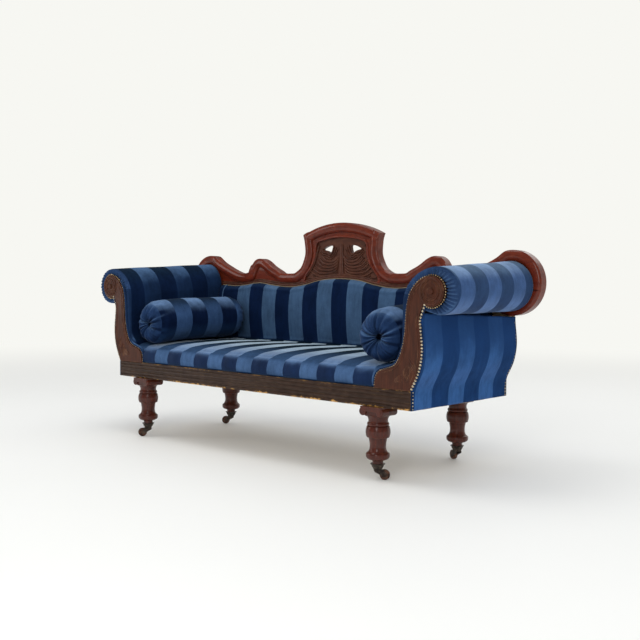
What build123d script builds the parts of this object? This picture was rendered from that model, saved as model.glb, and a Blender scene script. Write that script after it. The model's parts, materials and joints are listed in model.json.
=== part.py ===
from build123d import *
import math
import os

os.makedirs("parts", exist_ok=True)

# Driving sizes, in millimetres. X is the length, Y runs from front (-) to back (+).
RAIL_LEN = 1690.0
RAIL_BOTTOM = 270.0
RAIL_HEIGHT = 70.0
FRONT_RAIL_DEPTH = 60.0
REAR_RAIL_DEPTH = 46.0
END_RAIL_WIDTH = 60.0
DEPTH = 654.0
FACING_THICK = 30.0
FACING_FOOT = 162.0
SCROLL_RADIUS = 53.0
ROLL_FRONT_RADIUS = 83.0
ROLL_BACK_RADIUS = 97.5
CREST_THICK = 34.0
CREST_BOTTOM = 690.0
CREST_END_RADIUS = 129.0
CREST_BEAD = 23.0
BEAD_HIGH = 13.0
PANEL_BEAD = 6.0
PANEL_BEAD_HIGH = 5.0
CARTOUCHE_TOP = 988.0
CARTOUCHE_CORNER = 231.0
PANEL_THICK = 18.0
SEAT_CROWN = 441.0
BACK_PAD_THICK = 49.0
ARM_PAD_THICK = 29.0
BOLSTER_RADIUS = 98.0
BOLSTER_LEN = 525.0
BOLSTER_IN = 190.0
BOLSTER_TILT = 1.5
BOLSTER_SKEW = 4.0
LEG_SPREAD = 677.0
LEG_BLOCK = 94.0
ROLL_EAR = 15.5
LEG_PROUD = 13.0
REAR_LEG_INSET = 90.0
LEG_DRUM_DIA = 91.0
LEG_BULB_DIA = 88.0
LEG_WAIST_DIA = 60.0
ANKLE_DIA = 40.0
SPIGOT_DIA = 24.0
SPIGOT_LEN = 42.0
BEARER_WALL = 16.0
WHEEL_RADIUS = 19.0
WHEEL_WIDTH = 16.0
WHEEL_OFFSET = 26.0
CUP_HEIGHT = 20.0
AXLE_DIA = 6.0
STEM_DIA = 10.0
STRAP_WIDTH = 52.0
STRAP_PITCH = 110.0
SPRING_RADIUS = 36.0

# Clearances and thin layers.
SOFT_GAP = 0.4
RUN_GAP = 0.05
PRESS_GAP = 0.02
COVER = 5.0
BACK_COVER = 4.0
STRAP = 2.0
BEAD_LAP = 1.5

# Positions that follow from the sizes.
HALF = RAIL_LEN / 2
RAIL_TOP = RAIL_BOTTOM + RAIL_HEIGHT
FRONT = -DEPTH / 2 + LEG_PROUD
BACK = DEPTH / 2
FRAME_BACK = BACK - BACK_COVER
CREST_FRONT = FRAME_BACK - CREST_THICK
EDGE = HALF - COVER
END_IN = EDGE - END_RAIL_WIDTH
FACE_BACK = FRONT + FACING_THICK
ARM_IN = HALF - 52.0
ARM_CORE = ARM_IN + ARM_PAD_THICK
ARM_BOTTOM = SEAT_CROWN + SOFT_GAP
DISC_X = HALF + 80.0
DISC_Z = RAIL_TOP + 348.0
END_X = HALF + 43.0
END_Z = CREST_BOTTOM + 30.0
FRONT_LEG_Y = -DEPTH / 2 + LEG_BLOCK / 2
REAR_LEG_Y = BACK - REAR_LEG_INSET
ARM_END = CREST_FRONT - BEAD_HIGH - 1.0
BACK_REAR = CREST_FRONT - SOFT_GAP


def upright(face, y_front, y_back):
    """Stand a flat outline drawn in X and Z up and give it depth along Y."""
    plane = Plane(origin=(0, y_back, 0), x_dir=(1, 0, 0), z_dir=(0, -1, 0))
    return extrude(plane * face, y_back - y_front)


def lengthwise(face, x_left, x_right):
    """Carry an outline drawn in Y and Z along X."""
    plane = Plane(origin=(x_left, 0, 0), x_dir=(0, 1, 0), z_dir=(1, 0, 0))
    return extrude(plane * face, x_right - x_left)


def block(x0, x1, y0, y1, z0, z1):
    """A plain squared timber between two corners."""
    at = Pos((x0 + x1) / 2, (y0 + y1) / 2, (z0 + z1) / 2)
    return at * Box(x1 - x0, y1 - y0, z1 - z0)


def flip(shape):
    """The same piece for the other end of the sofa."""
    return mirror(shape, about=Plane.YZ)


def save(name, *shapes):
    """Write one node; several solids go in as a group."""
    solids = []
    for shape in shapes:
        solids += list(shape.solids())
    whole = solids[0] if len(solids) == 1 else Compound(children=solids)
    export_step(whole, "parts/" + name + ".step")


def polar(cx, cz, radius, angle):
    """A point on a circle, for outlines made of arcs."""
    v = Vector(radius, 0).rotate(Axis.Z, angle)
    return (cx + v.X, cz + v.Y)


def round_arc(cx, cz, radius, start, end):
    """An arc of an outline from one angle to another."""
    mid = polar(cx, cz, radius, (start + end) / 2)
    a = polar(cx, cz, radius, start)
    return ThreePointArc(a, mid, polar(cx, cz, radius, end))


def bead(edges, inward, wide, high, y_face):
    """A rounded moulding carried along an outline on a front face.

    inward says on which side of the line of travel the wood lies.
    """
    path = Wire(edges)
    start = path.position_at(0)
    run = path.tangent_at(0)
    side = Vector(-run.Y, run.X) * inward
    middle = start + side * (wide - BEAD_LAP)
    plane = Plane(
        origin=(middle.X, y_face, middle.Y),
        x_dir=(side.X, 0, side.Y),
        z_dir=(run.X, 0, run.Y),
    )
    spot = Plane(origin=(0, y_face, 0), x_dir=(1, 0, 0), z_dir=(0, -1, 0))
    return sweep(plane * Ellipse(wide, high), path=spot * path)


def knob(spot, wide, high, y_face):
    """A rounded boss in the corner where two mouldings meet."""
    eye = Plane(origin=(spot[0], y_face, spot[1]), x_dir=(1, 0, 0), z_dir=(0, -1, 0))
    disc = eye * Cylinder(2 * wide - BEAD_LAP, 2 * high)
    return fillet(disc.edges().sort_by(Axis.Y)[0], 0.9 * high)


# Seat frame.

def front_rail():
    """Show rail with five shallow reeds along its face."""
    bands = (12.0, 14.0, 18.0, 14.0, 12.0)
    unit = RAIL_HEIGHT / sum(bands)
    dip = 3.0
    z = RAIL_TOP
    rear = FRONT + FRONT_RAIL_DEPTH
    edges = [Line((rear, RAIL_TOP), (FRONT + dip, RAIL_TOP))]
    for band in bands:
        low = z - band * unit
        crown = (FRONT, (z + low) / 2)
        edges.append(ThreePointArc((FRONT + dip, z), crown, (FRONT + dip, low)))
        z = low
    edges.append(Line((FRONT + dip, z), (rear, z)))
    edges.append(Line((rear, z), (rear, RAIL_TOP)))
    rail = lengthwise(make_face(edges), -HALF, HALF)
    for side in (-1, 1):
        rail -= spigot_hole(side * LEG_SPREAD, FRONT_LEG_Y)
    return rail


def spigot_hole(x, y):
    """The bored socket that takes the pin on top of a leg."""
    radius = SPIGOT_DIA / 2 + PRESS_GAP
    at = Pos(x, y, RAIL_BOTTOM)
    tall = SPIGOT_LEN + 1.0
    return at * Cylinder(radius, tall, align=(Align.CENTER, Align.CENTER, Align.MIN))


def corner_block(x, y, dx, dy):
    """A glued triangular block in a corner of the seat frame."""
    size = 70.0
    pts = [(x, y), (x + dx * size, y), (x, y + dy * size), (x, y)]
    face = make_face(Polyline(*pts))
    return extrude(Pos(0, 0, RAIL_BOTTOM + 6.0) * face, RAIL_HEIGHT - 22.0)


rail_in = FRONT + FRONT_RAIL_DEPTH
rear_in = FRAME_BACK - REAR_RAIL_DEPTH
bearer_top = RAIL_BOTTOM + 50.0

save("front_seat_rail", front_rail())
save("rear_seat_rail", block(-END_IN, END_IN, rear_in, FRAME_BACK, RAIL_BOTTOM, RAIL_TOP))
end_rail = block(END_IN, EDGE, rail_in, FRAME_BACK, RAIL_BOTTOM, RAIL_TOP)
save("right_end_rail", end_rail)
save("left_end_rail", flip(end_rail))
bearer_in = LEG_SPREAD - SPIGOT_DIA / 2 - BEARER_WALL
bearer = block(bearer_in, END_IN, rail_in, rear_in, RAIL_BOTTOM, bearer_top)
bearer -= spigot_hole(LEG_SPREAD, REAR_LEG_Y)
save("right_leg_bearer", bearer)
save("left_leg_bearer", flip(bearer))
corners = [
    corner_block(bearer_in, rail_in, -1, 1),
    corner_block(bearer_in, rear_in, -1, -1),
]
save("corner_blocks", *corners, *[flip(c) for c in corners])


# Arm frames.

def arm_curve(shift, grow=0.0):
    """The swelling outer edge of an arm, from the rail up to the scroll."""
    cusp = polar(DISC_X - grow, DISC_Z, SCROLL_RADIUS + grow, 237)
    pts = [
        (EDGE, RAIL_TOP),
        (HALF + 30, RAIL_TOP + 74),
        (HALF + 41, RAIL_TOP + 140),
        (HALF + 34, RAIL_TOP + 220),
        (HALF + 32, RAIL_TOP + 250),
        cusp,
    ]
    return Spline(*[(x + shift, z) for x, z in pts])


def facing_face(grow=0.0):
    """Outline of the scrolled board that fronts an arm.

    grow widens it a little, to cut the pocket that takes it in soft pieces.
    """
    radius = SCROLL_RADIUS + grow
    side = HALF - grow
    base = RAIL_TOP + grow
    inner = [
        polar(DISC_X, DISC_Z, radius, 100),
        (side + 33, base + 386),
        (side - 5, base + 346),
        (side - 22, base + 283),
        (side - 28, base + 200),
        (side - 45, base + 128),
        (side - 72, base + 85),
        (side - 119, base + 67),
        (side - 142, base + 58),
        (side - 155, base + 43),
        (side - 160, base + 22),
        (side - FACING_FOOT, base),
    ]
    edge = arm_curve(grow, grow)
    foot = (side - FACING_FOOT, RAIL_TOP)
    edges = [
        edge,
        round_arc(DISC_X, DISC_Z, radius, 237 - 360, 100),
        Spline(*inner),
        Line(foot, edge @ 0),
    ]
    if grow > 0:
        edges.append(Line(inner[-1], foot))
    return make_face(edges)


def facing():
    """Scrolled facing with a turned ring and boss on its eye."""
    board = upright(facing_face(), FRONT, FACE_BACK)
    eye = Plane(origin=(DISC_X, FRONT, DISC_Z), x_dir=(1, 0, 0), z_dir=(0, -1, 0))
    board += eye * Torus(SCROLL_RADIUS - 9, 4)
    board += eye * Torus(SCROLL_RADIUS - 22, 3)
    boss = eye * Cylinder(12, 14, align=Align.CENTER)
    return board + fillet(boss.edges().sort_by(Axis.Y)[0], 4)


def rear_post():
    """Upright at the back of an arm, with the same swelling edge."""
    top = CREST_BOTTOM
    curve = arm_curve(0)
    edges = [
        curve,
        Line(curve @ 1, (EDGE, top)),
        Line((EDGE, top), (EDGE - 40, top)),
        Line((EDGE - 40, top), (EDGE - 40, RAIL_TOP)),
        Line((EDGE - 40, RAIL_TOP), (EDGE, RAIL_TOP)),
    ]
    post = upright(make_face(edges), CREST_FRONT, FRAME_BACK)
    tail = block(EDGE, EDGE + 400, CREST_FRONT, FRAME_BACK, RAIL_TOP, top)
    eye = Plane(origin=(END_X, BACK, END_Z), x_dir=(1, 0, 0), z_dir=(0, -1, 0))
    round_cut = eye * Cylinder(CREST_END_RADIUS + PRESS_GAP, 4 * CREST_THICK)
    return post - (tail & round_cut)


face_right = facing()
save("right_arm_facing", face_right)
save("left_arm_facing", flip(face_right))
post_right = rear_post()
save("right_rear_post", post_right)
save("left_rear_post", flip(post_right))

bar = 20.0
bar_x = HALF + 75.0
top_rail = block(bar_x - bar, bar_x + bar, FACE_BACK, CREST_FRONT, DISC_Z - bar, DISC_Z + bar)
top_rail = chamfer(top_rail.edges().filter_by(Axis.Y), 9)
save("right_arm_top_rail", top_rail)
save("left_arm_top_rail", flip(top_rail))
tack = block(EDGE - 40, EDGE, FACE_BACK, CREST_FRONT, SEAT_CROWN - 40, SEAT_CROWN)
save("right_arm_tacking_rail", tack)
save("left_arm_tacking_rail", flip(tack))


# Back frame and carved crest.

MUNTIN = 50.0
muntin_x = (-0.5 * HALF, 0.0, 0.5 * HALF)
muntins = []
for x in muntin_x:
    sides = (x - MUNTIN / 2, x + MUNTIN / 2)
    muntins.append(block(*sides, CREST_FRONT, FRAME_BACK, RAIL_TOP, CREST_BOTTOM))
save("back_muntins", *muntins)
stops = [-(EDGE - 40)]
for x in muntin_x:
    stops += [x - MUNTIN / 2, x + MUNTIN / 2]
stops.append(EDGE - 40)
tacks = []
for a, b in zip(stops[0::2], stops[1::2]):
    tacks.append(block(a, b, CREST_FRONT, FRAME_BACK, SEAT_CROWN - 31, SEAT_CROWN + 9))
save("back_tacking_rails", *tacks)

JOIN_X = CARTOUCHE_CORNER + 69.0
VALLEY = CREST_BOTTOM + 67.0
SILL = CREST_BOTTOM + 32.0
ARCH_RISE = CARTOUCHE_TOP - VALLEY
OPENING_RISE = CARTOUCHE_TOP - SILL
wave = HALF / 845.0
END_REACH = (CREST_END_RADIUS ** 2 - (END_Z - CREST_BOTTOM) ** 2) ** 0.5
END_TIP = (END_X + END_REACH, CREST_BOTTOM)


def crest_top():
    """The waved top of one crest rail, from the scroll end to the middle."""
    over = polar(END_X, END_Z, CREST_END_RADIUS, 45)
    cap = ThreePointArc(END_TIP, over, polar(END_X, END_Z, CREST_END_RADIUS, 100))
    sweep_down = [
        cap @ 1,
        (829 * wave, VALLEY + 70),
        (772 * wave, VALLEY + 40),
        (709 * wave, VALLEY + 14),
        (655 * wave, VALLEY),
        (596 * wave, VALLEY + 5),
    ]
    hump = [
        sweep_down[-1],
        (585 * wave, VALLEY + 30),
        (556 * wave, VALLEY + 65),
        (520 * wave, VALLEY + 73),
        (484 * wave, VALLEY + 62),
        (440 * wave, VALLEY + 34),
        (390 * wave, VALLEY + 10),
        (JOIN_X, VALLEY),
    ]
    first = Spline(*sweep_down, tangents=[(-0.98, -0.17), (-1, 0.25)])
    second = Spline(*hump, tangents=[(-0.3, 1), (-1, 0.02)])
    return cap, first, second


def crest_rail():
    """One waved crest rail with its rounded top moulding."""
    cap, first, second = crest_top()
    low = (JOIN_X, CREST_BOTTOM)
    edges = [
        cap,
        first,
        second,
        Line((JOIN_X, VALLEY), low),
        Line(low, END_TIP),
    ]
    outline = make_face(edges)
    board = upright(outline, CREST_FRONT, FRAME_BACK)
    cusp = second @ 0
    past = Line(cusp, cusp + (first % 1) * 0.4 * CREST_BEAD)
    before = Line(cusp - (second % 0) * 0.4 * CREST_BEAD, cusp)
    board += bead([cap, first, past], 1, CREST_BEAD, BEAD_HIGH, CREST_FRONT)
    board += bead([before, second], 1, CREST_BEAD, BEAD_HIGH, CREST_FRONT)
    board += knob((cusp.X, cusp.Y), CREST_BEAD, BEAD_HIGH, CREST_FRONT)
    return board & upright(outline, FRONT, BACK)


def crest_tail():
    """Lower part of the scroll end, jointed under the crest rail."""
    depth = (CREST_END_RADIUS ** 2 - (END_X - EDGE) ** 2) ** 0.5
    foot = (EDGE, END_Z - depth)
    curve = ThreePointArc(foot, polar(END_X, END_Z, CREST_END_RADIUS, -63), END_TIP)
    edges = [
        curve,
        Line(END_TIP, (EDGE, CREST_BOTTOM)),
        Line((EDGE, CREST_BOTTOM), foot),
    ]
    outline = make_face(edges)
    tail = upright(outline, CREST_FRONT, FRAME_BACK)
    tail += bead([curve], 1, CREST_BEAD, BEAD_HIGH, CREST_FRONT)
    return tail & upright(outline, FRONT, BACK)


def cartouche_outline():
    """Arched top and swept feet of the middle piece, right foot first."""
    neck = CARTOUCHE_CORNER - 14.0
    shoulder = (CARTOUCHE_CORNER, VALLEY + 0.77 * ARCH_RISE)
    foot = [
        (JOIN_X, VALLEY),
        (neck + 58, VALLEY + 0.03 * ARCH_RISE),
        (neck + 33, VALLEY + 0.1 * ARCH_RISE),
        (neck + 12, VALLEY + 0.24 * ARCH_RISE),
        (neck, VALLEY + 0.4 * ARCH_RISE),
        (neck + 2, VALLEY + 0.565 * ARCH_RISE),
        shoulder,
    ]
    right = Spline(*foot, tangents=[(-1, 0.02), (0.45, 1)])
    arch = ThreePointArc(shoulder, (0, CARTOUCHE_TOP), (-shoulder[0], shoulder[1]))
    back_foot = [(-x, z) for x, z in reversed(foot)]
    left = Spline(*back_foot, tangents=[(0.45, -1), (-1, -0.02)])
    return right, arch, left


def cartouche_opening():
    """The opening that holds the carved panel."""
    foot = CARTOUCHE_CORNER - 9.0
    head = (foot - 82, SILL + 0.67 * OPENING_RISE)
    side = [
        (foot, SILL),
        (foot - 9, SILL + 0.086 * OPENING_RISE),
        (foot - 38, SILL + 0.214 * OPENING_RISE),
        (foot - 56, SILL + 0.32 * OPENING_RISE),
        (foot - 70, SILL + 0.48 * OPENING_RISE),
        (foot - 72, SILL + 0.594 * OPENING_RISE),
        head,
    ]
    right = Spline(*side)
    arch = ThreePointArc(head, (0, SILL + 0.748 * OPENING_RISE), (-head[0], head[1]))
    left = Spline(*[(-x, z) for x, z in reversed(side)])
    floor = Line((-foot, SILL), (foot, SILL))
    return right, arch, left, floor


def cartouche():
    """Moulded frame in the middle of the crest."""
    right, arch, left = cartouche_outline()
    edges = [
        right,
        arch,
        left,
        Line((-JOIN_X, VALLEY), (-JOIN_X, CREST_BOTTOM)),
        Line((-JOIN_X, CREST_BOTTOM), (JOIN_X, CREST_BOTTOM)),
        Line((JOIN_X, CREST_BOTTOM), (JOIN_X, VALLEY)),
    ]
    outline = make_face(edges)
    whole = upright(outline, CREST_FRONT, FRAME_BACK)
    for run in (right, arch, left):
        whole += bead([run], 1, CREST_BEAD, BEAD_HIGH, CREST_FRONT)
    opening = cartouche_opening()
    for run in opening[:3]:
        whole += bead([run], -1, PANEL_BEAD, PANEL_BEAD_HIGH, CREST_FRONT)
    for corner in (opening[0] @ 0, opening[1] @ 0, opening[1] @ 1, opening[2] @ 1):
        whole += knob((corner.X, corner.Y), PANEL_BEAD, PANEL_BEAD_HIGH, CREST_FRONT)
    whole = whole & upright(outline, FRONT, BACK)
    return whole - upright(make_face(opening), FRONT, BACK)


def piercing(side):
    """One pierced eye of the carved panel."""
    top = SILL + 0.605 * OPENING_RISE
    drop = OPENING_RISE / 266.0
    upper = [(54, top), (93, top - 3 * drop), (115, top - 15 * drop)]
    lower = [(85, top - 24 * drop), (65, top - 34 * drop), (56, top - 20 * drop)]
    pts = upper + lower
    outline = Spline(*[(side * x, z) for x, z in pts], periodic=True)
    return upright(make_face(outline), FRONT, BACK)


def carved_panel():
    """Pierced panel with hanging folds carved either side of a stem."""
    y_front = CREST_FRONT + 6.0
    panel = upright(make_face(cartouche_opening()), y_front, y_front + PANEL_THICK)
    for side in (-1, 1):
        panel -= piercing(side)
    spot = Plane(origin=(0, y_front, 0), x_dir=(1, 0, 0), z_dir=(0, -1, 0))
    base = SILL + 0.075 * OPENING_RISE
    fall = OPENING_RISE / 266.0
    ribs = []
    for side in (-1, 1):
        for k in range(5):
            a = (side * (10 + 5 * k), base + fall * (96 - 17 * k))
            m = (side * (66 + 7 * k), base + fall * (62 - 14 * k))
            b = (side * (124 + 10 * k), base + fall * (92 - 15 * k))
            line = spot * ThreePointArc(a, m, b)
            ring = Plane(origin=line @ 0, z_dir=line % 0) * Circle(4.6 - 0.3 * k)
            ribs.append(sweep(ring, path=line))
    stem = spot * Line((0, base - 8), (0, SILL + 0.64 * OPENING_RISE))
    ribs.append(sweep(Plane(origin=stem @ 0, z_dir=stem % 0) * Circle(6), path=stem))
    for rib in ribs:
        panel += rib
    return panel


rail_right = crest_rail()
save("right_crest_rail", rail_right)
save("left_crest_rail", flip(rail_right))
tail_right = crest_tail()
save("right_crest_end", tail_right)
save("left_crest_end", flip(tail_right))
save("crest_cartouche", cartouche())
save("cartouche_panel", carved_panel())


# Upholstery.

FOOT_X = ARM_IN - 41.0
FOOT_Z = SEAT_CROWN + 85.0


def foot_curve(shift):
    """Where the inside of an arm sweeps down on to the seat."""
    a = (FOOT_X + shift, ARM_BOTTOM)
    b = (ARM_IN + shift, FOOT_Z)
    return Spline(a, b, tangents=[(1, 0.35), (0, 1)])


def arm_section(rise, top, outer, under, tuck):
    """Section through the padded arm: slab, roll and tuck-in."""
    slab = foot_curve(0)
    edges = [
        slab,
        Line((ARM_IN, FOOT_Z), (ARM_IN, rise)),
        Spline((ARM_IN, rise), top, tangents=[(0, 1), (1, 0)]),
        Spline(top, outer, tangents=[(1, 0), (0, -1)]),
        Spline(outer, under, tangents=[(0, -1), (-1, 0)]),
        Line(under, tuck),
        Line(tuck, (ARM_CORE, tuck[1] - 8)),
        Line((ARM_CORE, tuck[1] - 8), (ARM_CORE, ARM_BOTTOM)),
        Line((ARM_CORE, ARM_BOTTOM), (FOOT_X, ARM_BOTTOM)),
    ]
    return make_face(edges)


def arm_pad():
    """Inside arm and roll in one stuffed piece, swelling towards the back."""
    rf = ROLL_FRONT_RADIUS
    rb = ROLL_BACK_RADIUS
    fx = HALF + 98.0
    fz = DISC_Z + 2.0
    bx = HALF + 45.0
    bz = END_Z - 13.0
    front_round = ((fx - 8, fz + rf), (fx + rf, fz), (fx, fz - rf), (HALF + 50, fz - 70))
    back_round = ((bx, bz + rb), (bx + rb, bz), (bx, bz - rb), (HALF + 28, bz - 95))
    first = arm_section(fz - 50, *front_round)
    last = arm_section(bz - 17, *back_round)
    ends = []
    for face, y in ((first, FRONT + 1.0), (last, ARM_END)):
        plane = Plane(origin=(0, y, 0), x_dir=(1, 0, 0), z_dir=(0, -1, 0))
        ends.append(plane * face)
    pad = loft(ends, ruled=True)
    pad -= upright(facing_face(SOFT_GAP), FRONT - 1, FACE_BACK + SOFT_GAP)
    g = bar + SOFT_GAP
    hole = block(bar_x - g, bar_x + g, FRONT, BACK, DISC_Z - g, DISC_Z + g)
    return pad - hole


def arm_cover():
    """Outside arm cover, pulled over the swelling edges front and back."""
    inner = arm_curve(0)
    outer = arm_curve(COVER)
    edges = [
        inner,
        Line(inner @ 1, outer @ 1),
        outer,
        Line(outer @ 0, (HALF, RAIL_BOTTOM)),
        Line((HALF, RAIL_BOTTOM), (EDGE, RAIL_BOTTOM)),
        Line((EDGE, RAIL_BOTTOM), inner @ 0),
    ]
    cover = upright(make_face(edges), FRONT, FRAME_BACK)
    low = END_Z - CREST_END_RADIUS - 2.0
    near = FRONT - 1.0
    pts = [(near, low + 27), (BACK, low), (BACK, low + 200), (near, low + 200)]
    trim = lengthwise(make_face(Polyline(*pts, close=True)), HALF - 60, HALF + 200)
    cover -= trim
    return cover - block(EDGE - 1, HALF + 1, FRONT - 1, rail_in, RAIL_BOTTOM - 1, RAIL_TOP)


def back_face():
    """Outline of the stuffed back, waved along the crest."""
    lift = CREST_BOTTOM
    side = ARM_IN - 1.0
    wavy = [
        (0, lift + 43),
        (119, lift + 35),
        (211, lift + 15),
        (311 * wave, lift + 3),
        (423 * wave, lift + 10),
        (522 * wave, lift + 21),
        (620 * wave, lift + 10),
        (690 * wave, lift + 5),
        (side, lift + 10),
    ]
    right = Spline(*wavy, tangents=[(1, 0), (1, 0.1)])
    other = [(-x, z) for x, z in reversed(wavy)]
    left = Spline(*other, tangents=[(1, -0.1), (1, 0)])
    foot = foot_curve(-1.0)
    toe = (-FOOT_X + 1, ARM_BOTTOM)
    mirrored = Spline(toe, (-side, FOOT_Z), tangents=[(-1, 0.35), (0, 1)])
    edges = [
        right,
        Line((side, lift + 10), (side, FOOT_Z)),
        foot,
        Line((FOOT_X - 1, ARM_BOTTOM), toe),
        mirrored,
        Line((-side, FOOT_Z), (-side, lift + 10)),
        left,
    ]
    return make_face(edges)


def back_pad():
    """Stuffed back, crowned from the seat up to the crest."""
    rear = BACK_REAR
    pad = upright(back_face(), rear - BACK_PAD_THICK, rear)
    half = (CREST_BOTTOM - ARM_BOTTOM) / 2 + 20
    sag = BACK_PAD_THICK / 2
    radius = (half ** 2 + sag ** 2) / (2 * sag)
    at = Pos(0, rear - BACK_PAD_THICK + radius, ARM_BOTTOM + half)
    return pad & (at * Rot(0, 90, 0) * Cylinder(radius, 2 * HALF))


def crown_radius(y, drop):
    """Radius of the seat's crown where it falls by drop at y."""
    return (y ** 2 + drop ** 2) / (2 * drop)


def crown_arc(y, drop):
    """Arc that leaves the crown of the seat level and falls away to y."""
    radius = crown_radius(y, drop)
    dip = radius - (radius ** 2 - y ** 2 / 4) ** 0.5
    return ThreePointArc((0, SEAT_CROWN), (y / 2, SEAT_CROWN - dip), (y, SEAT_CROWN - drop))


def seat_pad():
    """Sprung seat: upright front, bullnose edge and a crown."""
    base = RAIL_TOP + SOFT_GAP
    rear = CREST_FRONT - 1.0
    nose = (FRONT + 30, SEAT_CROWN - 30)
    edges = [
        ThreePointArc((FRONT + 6, base), (FRONT + 5, base + 40), nose),
        crown_arc(nose[0], 30),
        crown_arc(rear, 7),
        Line((rear, SEAT_CROWN - 7), (rear, base)),
        Line((rear, base), (FRONT + 6, base)),
    ]
    side = ARM_IN - 1.0
    pad = lengthwise(make_face(edges), -side, side)
    gap = upright(facing_face(SOFT_GAP), FRONT - 1, FACE_BACK + SOFT_GAP)
    pad -= gap
    pad -= flip(gap)
    well_top = HESSIAN + STRAP + SOFT_GAP
    well = (-END_IN + 8, END_IN - 8, rail_in + 8, rear_in - 8)
    return pad - block(*well, RAIL_TOP - 1, well_top)


def bolster():
    """Round bolster with gathered ends drawn in to a deep centre.

    It lies a little askew, with its front end towards the arm and lower.
    """
    r = BOLSTER_RADIUS
    h = BOLSTER_LEN / 2
    edges = [
        Line((0, -h + 16), (0, h - 16)),
        Line((0, h - 16), (5, h - 16)),
        ThreePointArc((5, h - 16), (11, h - 13), (17, h - 5)),
        ThreePointArc((17, h - 5), (r * 0.5, h), (r - 22, h - 12)),
        ThreePointArc((r - 22, h - 12), (r - 6, h - 26), (r - 1.5, h - 46)),
        ThreePointArc((r - 1.5, h - 46), (r, 0), (r - 1.5, -h + 46)),
        ThreePointArc((r - 1.5, -h + 46), (r - 6, -h + 26), (r - 22, -h + 12)),
        ThreePointArc((r - 22, -h + 12), (r * 0.5, -h), (17, -h + 5)),
        ThreePointArc((17, -h + 5), (11, -h + 13), (5, -h + 16)),
        Line((5, -h + 16), (0, -h + 16)),
    ]
    roll = revolve(make_face(edges), Axis.Y)
    y_mid = BACK_REAR - BACK_PAD_THICK - 9 - h
    slope = math.tan(math.radians(BOLSTER_TILT))
    touch = SEAT_CROWN + SOFT_GAP + crown_radius(FRONT + 30, 30) * slope ** 2 / 2
    z_mid = touch + r / math.cos(math.radians(BOLSTER_TILT)) + y_mid * slope
    lie = Rot(0, 0, BOLSTER_SKEW) * Rot(BOLSTER_TILT, 0, 0)
    return Pos(HALF - BOLSTER_IN, y_mid, z_mid) * lie * roll


HESSIAN = SEAT_CROWN - 57.0
pad_right = arm_pad()
save("right_arm_pad", pad_right)
save("left_arm_pad", flip(pad_right))
cover_right = arm_cover()
save("right_outside_arm_cover", cover_right)
save("left_outside_arm_cover", flip(cover_right))
save("back_pad", back_pad())
save("seat_pad", seat_pad())
bolster_right = bolster()
save("right_bolster", bolster_right)
save("left_bolster", flip(bolster_right))


def outside_back():
    """Flat cover on the back of the frame."""
    curve = arm_curve(COVER)
    top = CREST_BOTTOM + 50.0
    lean = curve @ 0.8
    side = Spline(*[curve @ (0.1 * k) for k in range(9)])
    half = [
        Line((0, RAIL_BOTTOM), (HALF, RAIL_BOTTOM)),
        Line((HALF, RAIL_BOTTOM), curve @ 0),
        side,
        Line(side @ 1, (lean.X, top)),
        Line((lean.X, top), (0, top)),
        Line((0, top), (0, RAIL_BOTTOM)),
    ]
    right = upright(make_face(half), FRAME_BACK, BACK)
    return right + flip(right)


save("outside_back_cover", outside_back())


# Webbing, springs and hessian under the stuffing.

count = 11
cross_x = [STRAP_PITCH * (k - (count - 1) / 2) for k in range(count)]
cross_x = [x for x in cross_x if abs(x) + STRAP_WIDTH / 2 < LEG_SPREAD - LEG_BLOCK / 2]
low = RAIL_BOTTOM - STRAP
cross = []
for x in cross_x:
    sides = (x - STRAP_WIDTH / 2, x + STRAP_WIDTH / 2)
    cross.append(block(*sides, FRONT + 14, FRAME_BACK - 10, low, RAIL_BOTTOM))
save("seat_webbing_cross", *cross)
room_front = FRONT_LEG_Y + LEG_BLOCK / 2 + STRAP_WIDTH / 2 + 8
room_back = REAR_LEG_Y - LEG_BLOCK / 2 - STRAP_WIDTH / 2 - 8
longs = []
for k in range(4):
    y = room_front + (room_back - room_front) * k / 3
    y0 = y - STRAP_WIDTH / 2
    y1 = y + STRAP_WIDTH / 2
    strap = block(-EDGE + 6, EDGE - 6, y0, y1, low - STRAP, low)
    strap += block(END_IN + 4, EDGE - 6, y0, y1, low - STRAP, RAIL_BOTTOM)
    strap += block(-EDGE + 6, -END_IN - 4, y0, y1, low - STRAP, RAIL_BOTTOM)
    longs.append(strap)
save("seat_webbing_long", *longs)
sheet = (-END_IN + 14, END_IN - 14, rail_in + 14, rear_in - 14)
save("seat_hessian", block(*sheet, HESSIAN, HESSIAN + STRAP))

WIRE = 2.2
rise = HESSIAN - RAIL_BOTTOM - 2 * WIRE - 2 * SOFT_GAP
coil = Helix(pitch=rise / 4, height=rise, radius=SPRING_RADIUS)
section = Plane(origin=coil @ 0, z_dir=coil % 0) * Circle(WIRE)
spring = sweep(section, path=coil, is_frenet=True)
springs = []
for x in cross_x[::2]:
    for y in (-0.3 * BACK, 0.3 * BACK):
        springs.append(Pos(x, y, RAIL_BOTTOM + WIRE + SOFT_GAP) * spring)
save("seat_springs", *springs)


# Turned legs on castors.

CUP_TOP = 2 * WHEEL_RADIUS + 2.0 + CUP_HEIGHT
CUP_FLOOR = CUP_TOP - CUP_HEIGHT + 10.0


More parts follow.
